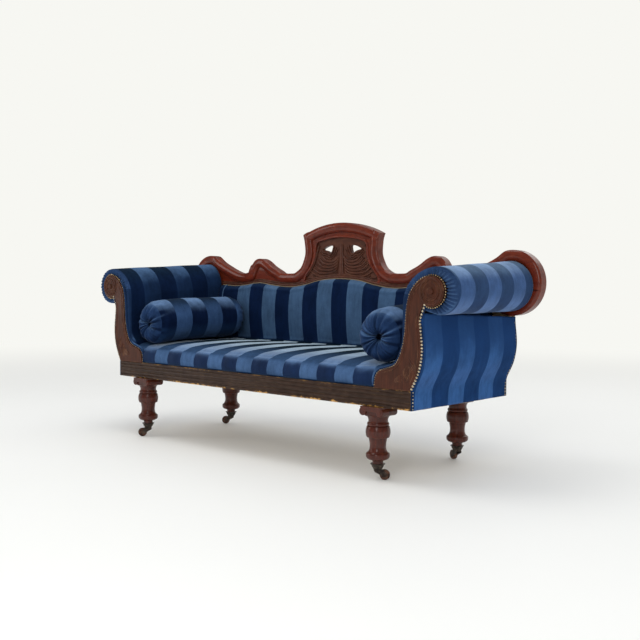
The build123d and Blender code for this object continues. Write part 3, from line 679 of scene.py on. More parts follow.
@dataclass(frozen=True)
class Cloth(Finish):
    """Coarse woven cloth and braid."""

    thread: Colour = (0.5, 0.38, 0.22)
    gap: Colour = (0.16, 0.11, 0.06)
    pitch: float = 0.003

    def build(self, fx: Effects) -> bpy.types.Material:
        """Make the material."""
        g, shader, material = self.start()
        values = {"Thread": self.thread, "Gap": self.gap, "Pitch": self.pitch}
        weave = g.add("ShaderNodeGroup", values, node_tree=fx.weave)
        g.fill(shader, {"Base Color": weave.outputs["Color"], "Sheen Weight": 0.1})
        self.bump(g, shader, weave.outputs["Height"], 0.5, 0.0008)
        return material


class Palette:
    """Every finish on the sofa, built once."""

    def __init__(self) -> None:
        """Build the shared effects and the materials."""
        fx = Effects()
        # Velvet top, under and far colours are painted light, shade and sheen; face is the cloth's
        # colour.
        finishes = [
            # Seat: painted sheen lightens pile stripes and darkens flat ones on top, more so further
            # back.
            Velvet(
                "seat_velvet_cut", face=(0.007, 0.018, 0.055), top=(0.075, 0.14, 0.27),
                far=(0.28, 0.38, 0.46), lie=(-0.31, 0.03), sheen=0.4,
                sheen_tint=(0.8, 0.92, 1.0),
            ),
            Velvet(
                "seat_velvet_flat", face=(0.05, 0.1, 0.205), top=(0.024, 0.055, 0.12),
                far=(0.006, 0.016, 0.026), lie=(-0.31, -0.02), sheen=0.01,
            ),
            Velvet(
                "back_velvet_cut", face=(0.003, 0.01, 0.036), top=(0.008, 0.02, 0.05),
                sheen=0.02,
            ),
            Velvet("back_velvet_flat", face=(0.04, 0.08, 0.15), top=(0.06, 0.11, 0.19), sheen=0.08),
            # Arm copies per end: left painted darker as in shade, right painted lighter as lit.
            Velvet(
                "left_velvet_cut", face=(0.003, 0.01, 0.034), top=(0.004, 0.013, 0.03),
                sheen=0.01,
            ),
            Velvet(
                "left_velvet_flat", face=(0.007, 0.02, 0.056), top=(0.045, 0.092, 0.18),
                sheen=0.08,
            ),
            Velvet(
                "right_velvet_cut", face=(0.018, 0.045, 0.115), top=(0.06, 0.11, 0.19),
                under=(0.015, 0.04, 0.12), sheen=0.2,
            ),
            # Its lighter under colour is a painted rim sheen.
            Velvet(
                "right_velvet_flat", face=(0.038, 0.085, 0.21), top=(0.15, 0.24, 0.4),
                under=(0.08, 0.15, 0.33), sheen=0.3,
            ),
            Velvet(
                "bolster_velvet_cut", face=(0.0025, 0.008, 0.03), top=(0.085, 0.15, 0.27),
                sheen=0.1,
            ),
            Velvet(
                "bolster_velvet_flat", face=(0.03, 0.066, 0.15), top=(0.006, 0.016, 0.036),
                under=(0.04, 0.08, 0.16), sheen=0.04,
            ),
            # Gathered ends: lighter top and darker under paint light and shade on the folds.
            Velvet(
                "gathered_velvet", face=(0.012, 0.03, 0.082), top=(0.05, 0.1, 0.2),
                under=(0.004, 0.012, 0.04), sheen=0.12,
            ),
            # Near-black knot in each gathered end: painted shade in its hole.
            Velvet(
                "knot_painted_shade", face=(0.001, 0.003, 0.01), top=(0.002, 0.005, 0.014),
                under=(0.001, 0.003, 0.01), sheen=0.0,
            ),
            # Outside velvet: brushed is painted shade high up the side, as cast by the roll.
            Velvet(
                "outside_velvet_cut", face=(0.010, 0.04, 0.13), top=(0.03, 0.06, 0.13),
                under=(0.012, 0.044, 0.14), sheen=0.05, brushed=(0.012, 0.046, 0.15),
            ),
            Velvet(
                "outside_velvet_flat", face=(0.033, 0.098, 0.26), top=(0.05, 0.11, 0.27),
                under=(0.05, 0.12, 0.31), sheen=0.08, brushed=(0.014, 0.05, 0.155),
            ),
            Velvet(
                "border_velvet", face=(0.02, 0.044, 0.108), top=(0.012, 0.028, 0.07),
                under=(0.05, 0.1, 0.21), sheen=0.06,
            ),
            Velvet(
                "inner_border_velvet", face=(0.01, 0.025, 0.066), top=(0.05, 0.1, 0.2),
                sheen=0.04,
            ),
            Wood(
                "crest_mahogany", 0.3, (0.17, 0.026, 0.009), (0.09, 0.012, 0.005), (0.3, 0.08, 0.03),
                wear=0.35, polish=0.42,
            ),
            Wood(
                "leg_mahogany", 0.3, (0.1, 0.02, 0.011), (0.038, 0.009, 0.006), (0.24, 0.08, 0.04),
                stretch=(45.0, 45.0, 7.0), wear=0.5, polish=0.45,
            ),
            Wood(
                "facing_wood", 0.42, (0.088, 0.025, 0.012), (0.036, 0.012, 0.007), (0.25, 0.12, 0.06),
                stretch=(40.0, 40.0, 7.0), wear=0.7, polish=0.15,
            ),
            Wood(
                "rail_wood", 0.46, (0.055, 0.03, 0.02), (0.025, 0.013, 0.009), (0.3, 0.18, 0.08),
                wear=0.35, polish=0.12, chips=True,
            ),
            Wood(
                "panel_wood", 0.4, (0.11, 0.038, 0.021), (0.055, 0.018, 0.011), (0.19, 0.085, 0.045),
                wear=0.6, polish=0.2,
            ),
            Wood(
                "frame_timber", 0.7, (0.5, 0.36, 0.22), (0.3, 0.2, 0.11), (0.6, 0.46, 0.3),
                wear=0.2, polish=0.0,
            ),
            Metal("nail_brass", metal=(0.86, 0.76, 0.58), dark=(0.42, 0.32, 0.2), scale=140.0),
            Metal("trim_brass", metal=(0.6, 0.46, 0.28), dark=(0.16, 0.1, 0.05), scale=140.0),
            Metal("castor_iron", metal=(0.09, 0.07, 0.055), dark=(0.022, 0.016, 0.013), metallic=0.7),
            Metal("castor_brass", metal=(0.16, 0.075, 0.045), dark=(0.035, 0.018, 0.013), metallic=0.6),
            Metal("spring_wire", metal=(0.55, 0.36, 0.25), dark=(0.25, 0.16, 0.1)),
            Cloth("jute_webbing", 0.9, pitch=0.0042),
            Cloth("hessian", 0.9, (0.4, 0.3, 0.18), (0.1, 0.07, 0.04), 0.0026),
            Cloth("gimp_braid", 0.7, (0.26, 0.18, 0.085), (0.06, 0.045, 0.03), 0.0022),
        ]
        self.made = {finish.name: finish.build(fx) for finish in finishes}

    def dress(self, piece: bpy.types.Object, *names: str) -> None:
        """Give a piece its materials, in the order of its face marks."""
        if piece.data.materials:
            piece.data.materials.clear()
        for name in names:
            piece.data.materials.append(self.made[name])


def settle(piece: bpy.types.Object, body: str = BODY) -> None:
    """Fix a finished piece to its body and report it.

    Args:
        piece: The piece.
        body: Body that it moves with.
    """
    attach(piece, body)
    LOG.info("%s: %d points on %s", piece.name, len(piece.data.vertices), body)


def trim_piece(palette: Palette, name: str, parts: list, finish: str) -> None:
    """Join small parts into one piece, dress it and fix it to the sofa.

    Args:
        palette: The finishes.
        name: Name of the piece.
        parts: Points and faces of each part.
        finish: Its finish.
    """
    piece = make_mesh(name, *joined(parts))
    palette.dress(piece, finish)
    settle(piece)


def thicken(piece: bpy.types.Object, thickness: float) -> None:
    """Give a sheet of cloth its thickness, inwards."""
    thick = piece.modifiers.new("cloth", "SOLIDIFY")
    thick.thickness = thickness
    thick.offset = -1.0


# Upholstery


@dataclass(frozen=True)
class Stripes:
    """Where the stripes of the velvet fall along one direction."""

    cut_from: float
    width: float = 0.09

    def stations(self, low: float, high: float, step: float) -> np.ndarray:
        """Places for rows of points, with one on each stripe's border.

        Args:
            low: First place.
            high: Last place.
            step: Greatest step between places.

        Returns:
            Places in order.
        """
        first = math.ceil((low - self.cut_from) / self.width)
        last = math.floor((high - self.cut_from) / self.width)
        marks = [self.cut_from + k * self.width for k in range(first, last + 1)]
        stops = [low, *[m for m in marks if low + 0.002 < m < high - 0.002], high]
        rows = [low]
        for a, b in zip(stops, stops[1:]):
            rows += list(np.linspace(a, b, max(1, math.ceil((b - a) / step)) + 1)[1:])
        return np.array(rows)

    def weave(self, at: float) -> Pile:
        """Which weave covers a place."""
        return Pile.CUT if math.floor((at - self.cut_from) / self.width) % 2 == 0 else Pile.FLAT

    def marks(self, rows: np.ndarray, cols: int) -> list[int]:
        """Face marks of a grid whose rows stand at these places."""
        middle = (rows[:-1] + rows[1:]) / 2
        return [self.weave(m).value for m in middle for _ in range(cols)]


class Stuffing:
    """Swells a stuffed mesh with a short cloth simulation."""

    def __init__(self, pressure: float, reach: float, frames: int = 12) -> None:
        """Keep how hard it swells, how far a point may move and for how long."""
        self.pressure = pressure
        self.reach = reach
        self.frames = frames

    def swell(self, piece: bpy.types.Object, held: np.ndarray) -> None:
        """Run the simulation and keep its result in the mesh.

        Args:
            piece: The mesh to swell.
            held: How firmly each point is held, from 0 to 1.
        """
        rest = np.array([v.co for v in piece.data.vertices])
        group = piece.vertex_groups.new(name="held")
        for number, weight in enumerate(held):
            if weight > 0:
                group.add([number], float(weight), "REPLACE")
        cloth = piece.modifiers.new("stuffing", "CLOTH")
        settings = {
            "quality": 5, "vertex_group_mass": "held",
            "use_pressure": True, "uniform_pressure_force": self.pressure,
            "tension_stiffness": 12.0, "compression_stiffness": 4.0, "bending_stiffness": 0.6,
        }
        for label, value in settings.items():
            setattr(cloth.settings, label, value)
        cloth.settings.effector_weights.gravity = 0.0
        cloth.point_cache.frame_start = 1
        cloth.point_cache.frame_end = self.frames
        scene = bpy.context.scene
        for frame in range(1, self.frames + 1):
            scene.frame_set(frame)
        graph = bpy.context.evaluated_depsgraph_get()
        moved = np.array([v.co for v in piece.evaluated_get(graph).data.vertices])
        shift = moved - rest
        far = np.linalg.norm(shift, axis=1, keepdims=True)
        shift *= np.minimum(1.0, self.reach / np.maximum(far, 1e-9))
        piece.modifiers.remove(cloth)
        piece.vertex_groups.clear()
        piece.data.vertices.foreach_set("co", (rest + shift).astype(np.float32).ravel())
        piece.data.update()
        scene.frame_set(1)


@dataclass
class SeatUpholstery:
    """The sprung seat with its bullnose front."""

    reach: float = 0.7915
    front: float = -0.3075
    rear: float = 0.287
    base: float = 0.3405
    crown: float = 0.441
    bolster_at: float = 0.655
    behind_facing: float = -0.2828
    stripe_from: float = 0.038
    stripe_width: float = 0.09

    def build(self, palette: Palette) -> None:
        """Build and dress the seat."""
        stripes = Stripes(self.stripe_from, self.stripe_width)
        rows = stripes.stations(-self.reach, self.reach, 0.011)
        f, c = self.front, self.crown
        line = [
            (f + 0.003, self.base), (f - 0.002, self.base + 0.022), (f + 0.002, self.base + 0.044),
            (f + 0.016, c - 0.035), (f + 0.048, c - 0.018), (f + 0.12, c - 0.0075),
            (f + 0.22, c - 0.002), (0.0, c), (0.12, c - 0.0015), (0.21, c - 0.004),
            (self.rear, c - 0.009),
        ]
        section = smooth_path(line, 84)
        under = np.array([(self.rear, self.base), (0.0, self.base)])
        loop = np.vstack([section, under])
        grid = np.zeros((len(rows), len(loop), 3))
        grid[:, :, 0] = rows[:, None]
        grid[:, :, 1] = loop[None, :, 0]
        grid[:, :, 2] = loop[None, :, 1]
        self.shape(grid, section)
        marks = [*stripes.marks(rows, len(loop)), 0, 0]
        faces = closed_faces(len(rows), len(loop))
        piece = make_mesh("seat_upholstery", grid.reshape(-1, 3), faces, marks)
        held = np.ones(grid.shape[:2])
        held[6:-6, 5 : len(section) - 5] = 0.0
        Stuffing(1.4, 0.004).swell(piece, held.ravel())
        palette.dress(piece, "seat_velvet_cut", "seat_velvet_flat")
        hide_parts("seat_pad")
        settle(piece)

    def shape(self, grid: np.ndarray, section: np.ndarray) -> None:
        """Give the plain seat its hollows, its tucked corners and its unevenness.

        Args:
            grid: Points of the seat, moved in place.
            section: The part of each row that shows.
        """
        n = len(section)
        top = grid[:, :n]
        x, y = top[..., 0], top[..., 1]
        high = np.clip((top[..., 2] - self.base) / (self.crown - self.base), 0, 1)
        dent = np.exp(-(((np.abs(x) - self.bolster_at) / 0.055) ** 2))
        dent *= np.clip((0.3 - np.abs(y)) / 0.1, 0, 1)
        top[..., 2] -= 0.006 * dent * high**2
        top[..., 2] += 0.0012 * soft_noise(top, 0.23, 0.7) * high
        seam = np.cos(2 * math.pi * (x - self.stripe_from) / self.stripe_width)
        nose = np.exp(-(((high - 0.55) / 0.4) ** 2)) * np.clip((-0.2 - y) / 0.08, 0, 1)
        top[..., 1] += 0.0013 * seam * nose
        edge = facing_inner(0.0)
        edge = edge[edge[:, 1] < self.crown + 0.02]
        tuck = np.clip((np.abs(x) - np.interp(top[..., 2], edge[:, 1], edge[:, 0])) / 0.006, 0, 1)
        behind = np.maximum(top[..., 1], self.behind_facing)
        top[..., 1] += tuck**2 * (3 - 2 * tuck) * (behind - top[..., 1])


@dataclass
class BackUpholstery:
    """The stuffed back below the waved crest, with its braid and end piping."""

    reach: float = 0.7915
    rear: float = 0.2885
    depth: float = 0.049
    base: float = 0.434
    piping_at: float = 0.757
    columns: int = 56

    def top_line(self, x: np.ndarray) -> np.ndarray:
        """Height of the waved top edge.

        Args:
            x: Places along the sofa.

        Returns:
            Heights at those places.
        """
        wave = [
            (0, 733), (119, 725), (211, 705), (311, 693), (423, 700), (522, 711), (620, 700),
            (690, 695), (792, 700),
        ]
        mirrored = [(-a, b) for a, b in reversed(wave[1:])]
        line = smooth_path(from_mm(mirrored + wave), 400)
        return np.interp(x, line[:, 0], line[:, 1])

    def section(self, x: float, count: int) -> np.ndarray:
        """Depth and height of the front of the pad at one place.

        Args:
            x: Place along the sofa.
            count: Number of points.

        Returns:
            Points from the foot to the top edge.
        """
        top = float(self.top_line(np.array([x]))[0])
        end = np.clip((abs(x) - self.piping_at + 0.03) / 0.03, 0, 1)
        deep = self.depth * (1 - 0.08 * end**3)
        foot, y0 = self.base, self.rear - deep
        line = [
            (y0 + 0.03, foot - 0.004), (y0 + 0.017, foot + 0.006), (y0 + 0.007, foot + 0.048),
            (y0, foot + 0.5 * (top - foot)), (y0 + 0.005, top - 0.055), (y0 + 0.016, top - 0.018),
            (y0 + 0.031, top - 0.004), (self.rear, top),
        ]
        return smooth_path(line, count)

    def build(self, palette: Palette) -> None:
        """Build and dress the back, its piping and its braid."""
        stripes = Stripes(-0.017)
        rows = stripes.stations(-self.reach, self.reach, 0.012)
        rows = np.unique(np.concatenate([rows, [-self.piping_at, self.piping_at]]))
        n = self.columns
        front = np.stack([self.section(x, n) for x in rows])
        grid = np.zeros((len(rows), n + 2, 3))
        grid[:, :, 0] = rows[:, None]
        grid[:, :n, 1:] = front
        behind = np.full(len(rows), self.rear)
        grid[:, n] = np.stack([rows, behind, front[:, -1, 1] - 0.01], axis=1)
        grid[:, n + 1] = np.stack([rows, behind, front[:, 0, 1] + 0.01], axis=1)
        swell = np.sin(np.linspace(0, math.pi, n))
        grid[:, :n, 1] += 0.0016 * soft_noise(grid[:, :n], 0.26, 1.9) * swell
        marks = [*stripes.marks(np.clip(rows, -0.735, 0.735), n + 2), 0, 0]
        faces = closed_faces(len(rows), n + 2)
        piece = make_mesh("back_upholstery", grid.reshape(-1, 3), faces, marks)
        held = np.ones(grid.shape[:2])
        held[5:-5, 4 : n - 4] = 0.0
        Stuffing(1.2, 0.004).swell(piece, held.ravel())
        palette.dress(piece, "back_velvet_cut", "back_velvet_flat")
        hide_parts("back_pad")
        settle(piece)
        self.trim(palette)

    def trim(self, palette: Palette) -> None:
        """Pipe both ends of the back and braid its top edge."""
        parts = []
        for end in (-1, 1):
            line = self.section(end * self.piping_at, 40)
            at = np.full(len(line), end * self.piping_at)
            path = np.column_stack([at, line[:, 0] - 0.001, line[:, 1]])
            parts.append(tube(path[1:], 0.0032, 8))
        trim_piece(palette, "back_end_piping", parts, "back_velvet_flat")
        x = np.linspace(-0.786, 0.786, 420)
        y = np.full(len(x), CREST_FRONT - 0.0065)
        edge = np.column_stack([x, y, self.top_line(x) - 0.0005])
        braid = tube(edge, 0.0028 + 0.0006 * np.sin(x * 900), 8)
        trim_piece(palette, "back_gimp_braid", [braid], "gimp_braid")


def facing_inner(side_gap: float = 0.0) -> np.ndarray:
    """Inner edge of a scrolled facing, from the rail to the top of its eye.

    Args:
        side_gap: How far inside the edge the line runs.

    Returns:
        Points in X and Z for the right-hand end.
    """
    edge = [
        (683, 340), (685, 362), (690, 383), (703, 398), (726, 407), (773, 425), (800, 468),
        (817, 540), (823, 623), (840, 686), (878, 726), (915.8, 740.2),
    ]
    line = smooth_path(from_mm(edge), 160)
    return offset_line(line, side_gap)


def facing_outer(side_gap: float = 0.0) -> np.ndarray:
    """Swelling outer edge of a facing, from the rail up to the scroll.

    Args:
        side_gap: How far outside the edge the line runs.

    Returns:
        Points in X and Z for the right-hand end.
    """
    edge = [(840, 340), (875, 414), (886, 480), (879, 560), (877, 590), (896.1, 643.5)]
    line = smooth_path(from_mm(edge), 90)
    return offset_line(line, -side_gap)


def offset_line(line: np.ndarray, gap: float) -> np.ndarray:
    """Shift a line sideways, to the left of its run for a positive gap.

    Args:
        line: Points in X and Z.
        gap: Size of the shift.

    Returns:
        The shifted points.
    """
    run = np.gradient(line, axis=0)
    run /= np.linalg.norm(run, axis=1)[:, None]
    return line + gap * np.stack([-run[:, 1], run[:, 0]], axis=1)


@dataclass
class ArmUpholstery:
    """Inside arm and roll in one stuffed piece, with a pleated front."""

    side: Side
    front: float = -0.289
    back: float = ARM_END
    pleats: int = 34
    wall_at: float = 0.793
    wall_foot: float = 0.526
    eye_radius: float = 0.0538
    inner_faces: int = 36

    def outline(self, at_back: bool) -> np.ndarray:
        """Section through the arm at its front or back end.

        Args:
            at_back: Whether it is the back end.

        Returns:
            Points in X and Z, from the seat round the roll to the tuck-in.
        """
        rise, top, out, under, tuck = (
            (0.690, (0.890, 0.8045), (0.9875, 0.707), (0.890, 0.6095), (0.873, 0.612))
            if at_back
            else (0.640, (0.935, 0.773), (1.026, 0.690), (0.943, 0.607), (0.895, 0.620))
        )
        skirt = [(0.749, 0.404), (0.757, 0.434), (0.774, 0.4525), (0.788, 0.478)]
        foot = smooth_path([*skirt, (self.wall_at, self.wall_foot)], 17)[:-1]
        wall = np.linspace((self.wall_at, self.wall_foot), (self.wall_at, rise), 13)[:-1]
        roll = [
            quarter((self.wall_at, rise), top, True, 44),
            quarter(top, out, False, 44),
            quarter(out, under, True, 40),
        ]
        return np.vstack([foot, wall, *roll, np.linspace(under, tuck, 8)])

    def eye(self) -> np.ndarray:
        """Edge of the facing that the pleated front is tucked against.

        Returns:
            Points in X and Z that match the front section one for one.
        """
        foot = smooth_path([(0.756, 0.4195), (0.773, 0.4258), (0.7995, 0.468), (0.811, 0.512)], 17)[:-1]
        wall = smooth_path([(0.811, 0.512), (0.8162, 0.540), (0.8222, 0.623), (0.828, 0.652)], 13)[:-1]
        bend = [(0.828, 0.652), (0.8392, 0.6865), (0.8775, 0.7268), (0.9155, 0.7412), (0.925, 0.7418)]
        neck = smooth_path(bend, 45)[:-1]
        arcs = [
            ring(DISC, self.eye_radius, 90, 0, 45)[:-1],
            ring(DISC, self.eye_radius, 0, -90, 41)[:-1],
            ring(DISC, self.eye_radius, -90, -121, 8),
        ]
        return np.vstack([foot, wall, neck, *arcs])

    def build(self, palette: Palette) -> None:
        """Build and dress the arm."""
        stripes = Stripes(-0.311, 0.098) if self.side is Side.LEFT else Stripes(-0.180, 0.098)
        first, last, eye = self.outline(False), self.outline(True), self.eye()
        rows = stripes.stations(self.front, self.back - 0.006, 0.011)
        body = []
        for y in rows:
            share = (y - self.front) / (self.back - self.front)
            section = (1 - share) * first + share * last
            body.append(np.column_stack([section, np.full(len(first), y)]))
        tail = body[-1].copy()
        tail[:, :2] += 0.012 * (np.array([0.88, 0.69]) - tail[:, :2])
        tail[:, 2] = self.back
        grid = np.stack([*self.pleated(first, eye), *body, tail])
        points = np.stack([self.side.value * grid[..., 0], grid[..., 2], grid[..., 1]], axis=-1)
        wave = 0.0012 * soft_noise(points, 0.19, 2.3)
        away = points - np.array([self.side.value * 0.9, 0.0, 0.69])
        away[..., 1] = 0
        away /= np.linalg.norm(away, axis=-1, keepdims=True) + 1e-9
        points += wave[..., None] * away
        cols = len(first)
        border = len(grid) - len(body) - 1
        faces = grid_faces(len(grid), cols, False)
        if self.side is Side.LEFT:
            faces = [f[::-1] for f in faces]
        dark = [Pile.DARK.value] * self.inner_faces
        turned = [Pile.TURNED.value] * (cols - 1 - self.inner_faces)
        marks = (dark + turned) * border + stripes.marks(rows, cols - 1)
        marks += [marks[-1]] * (cols - 1)
        piece = make_mesh(self.side.word + "_arm_upholstery", points.reshape(-1, 3), faces, marks)
        held = np.ones((len(grid), cols))
        held[border + 3 : -4, 6 : cols - 10] = 0.0
        Stuffing(1.0, 0.003, 8).swell(piece, held.ravel())
        thicken(piece, 0.003)
        # Each end has its own velvet: left painted in shade, right painted lit.
        weaves = [self.side.word + "_velvet_" + weave for weave in ("cut", "flat")]
        palette.dress(piece, *weaves, "border_velvet", "inner_border_velvet")
        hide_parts(self.side.word + "_arm_pad")
        settle(piece)
        self.welt(palette)

    def welt(self, palette: Palette) -> None:
        """A covered cord along the inner edge of the facing, down to the rail."""
        line = facing_inner(0.0062)
        line = line[(line[:, 1] > 0.343) & (line[:, 1] < 0.715)]
        cord = tube(standing(line, -0.3035, self.side), 0.0066, 12)
        name = self.side.word + "_front_welt"
        trim_piece(palette, name, [cord], "inner_border_velvet")

    def pleated(self, outer: np.ndarray, eye: np.ndarray) -> list[np.ndarray]:
        """Rows that turn in from the roll to the facing, gathered round the eye.

        Args:
            outer: Front section of the arm.
            eye: Edge of the facing, point for point.

        Returns:
            Rows of points in X, Z and Y, from the facing outwards.
        """
        bow = [(1.0, -0.2930), (0.97, -0.2975), (0.8, -0.3000), (0.5, -0.3018), (0.22, -0.3010)]
        turn = smooth_path([*bow, (0.07, -0.2970), (0.0, self.front)], 15)
        length = np.concatenate([[0], np.cumsum(np.linalg.norm(np.diff(eye, axis=0), axis=1))])
        start, end = length[28], length[-1]
        along = np.clip((length - start) / (end - start), 0, 1)
        gather = np.clip(along / 0.12, 0, 1)
        ridge = np.cos(2 * math.pi * self.pleats * along + 0.8 * np.sin(17 * along))
        rows = []
        for share, y in turn[:-1]:
            tight = share**0.4 * np.clip((1.06 - share) / 0.12, 0, 1)
            lift = 0.0042 * gather * tight * ridge + 0.0016 * gather * tight * np.cos(93 * along)
            spot = outer + share * (eye - outer)
            rows.append(np.column_stack([spot, y - lift]))
        return rows


@dataclass
class OutsideCover:
    """Velvet stretched over the outside of one arm."""

    side: Side
    top: float = 0.612

    @staticmethod
    def eased(heights: np.ndarray, out: np.ndarray) -> np.ndarray:
        """Round the corner that the cloth turns above the rail.

        Args:
            heights: Heights up the cover.
            out: How far out the frame stands at each height.

        Returns:
            How far out the cloth stands, never inside the frame.
        """
        spread = np.exp(-(((heights[:, None] - heights[None, :]) / 0.022) ** 2))
        soft = (spread * out[None, :]).sum(axis=1) / spread.sum(axis=1)
        return np.maximum(out, soft)

    def build(self, palette: Palette) -> None:
        """Build and dress the cover."""
        stripes = Stripes(-0.192, 0.103)
        rows = stripes.stations(FRONT + 0.004, REAR_POST - 0.002, 0.014)
        edge = facing_outer()
        low, high = np.linspace(RAIL_BOTTOM, RAIL_TOP, 8)[:-1], np.linspace(RAIL_TOP, self.top, 34)
        heights = np.concatenate([low, high])
        swell = np.interp(heights, edge[:, 1], edge[:, 0]) + 0.005
        out = self.eased(heights, np.where(heights < RAIL_TOP, HALF, swell))
        grid = np.zeros((len(rows), len(heights), 3))
        share = (rows - FRONT) / (REAR_POST - FRONT)
        tall = self.top - 0.026 * share
        grid[:, :, 1] = rows[:, None]
        squeeze = (heights - RAIL_BOTTOM) / (self.top - RAIL_BOTTOM)
        grid[:, :, 2] = RAIL_BOTTOM + squeeze[None, :] * (tall[:, None] - RAIL_BOTTOM)
        puff = np.sin(math.pi * np.clip(share, 0, 1)) ** 0.5
        rise = np.sin(math.pi * squeeze) ** 0.7
        full = 0.0045 * puff[:, None] * rise[None, :]
        grid[:, :, 0] = np.interp(grid[:, :, 2], heights, out) + 0.0028 + full
        grid[:, :, 0] += 0.0008 * soft_noise(grid, 0.21, 3.1)
        grid[:, :, 0] *= self.side.value
        faces = grid_faces(len(rows), len(heights), False)
        if self.side is Side.RIGHT:
            faces = [f[::-1] for f in faces]
        name = self.side.word + "_outside_arm"
        piece = make_mesh(name, grid.reshape(-1, 3), faces, stripes.marks(rows, len(heights) - 1))
        thicken(piece, 0.0022)
        palette.dress(piece, "outside_velvet_cut", "outside_velvet_flat")
        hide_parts(self.side.word + "_outside_arm_cover")
        settle(piece)


@dataclass
class OutsideBack:
    """Striped cloth over the back of the frame."""

    y: float = 0.3255
    top: float = 0.739
    reach: float = 0.84

    def build(self, palette: Palette) -> None:
        """Build and dress the cloth."""
        edge = facing_outer(0.004)
        low, high = np.linspace(RAIL_BOTTOM, RAIL_TOP, 7)[:-1], np.linspace(RAIL_TOP, self.top, 46)
        heights = np.concatenate([low, high])
        out = np.where(heights < RAIL_TOP, HALF, np.interp(heights, edge[:72, 1], edge[:72, 0]))
        stripes = Stripes(-0.017)
        span = stripes.stations(-self.reach, self.reach, 0.03)
        grid = np.zeros((len(span), len(heights), 3))
        grid[:, :, 0] = span[:, None] / self.reach * out[None, :]
        grid[:, :, 2] = heights[None, :]
        rise = np.sin(np.linspace(0, math.pi, len(heights)))
        puff = (1 - (span / self.reach) ** 2)[:, None] ** 0.5 * rise[None, :] ** 0.5
        grid[:, :, 1] = self.y + 0.0035 * puff + 0.0008 * soft_noise(grid, 0.31, 0.4)
        faces = [f[::-1] for f in grid_faces(len(span), len(heights), False)]
        marks = stripes.marks(span, len(heights) - 1)
        piece = make_mesh("outside_back", grid.reshape(-1, 3), faces, marks)
        thicken(piece, 0.002)
        palette.dress(piece, "outside_velvet_cut", "outside_velvet_flat")
        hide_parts("outside_back_cover")
        settle(piece)


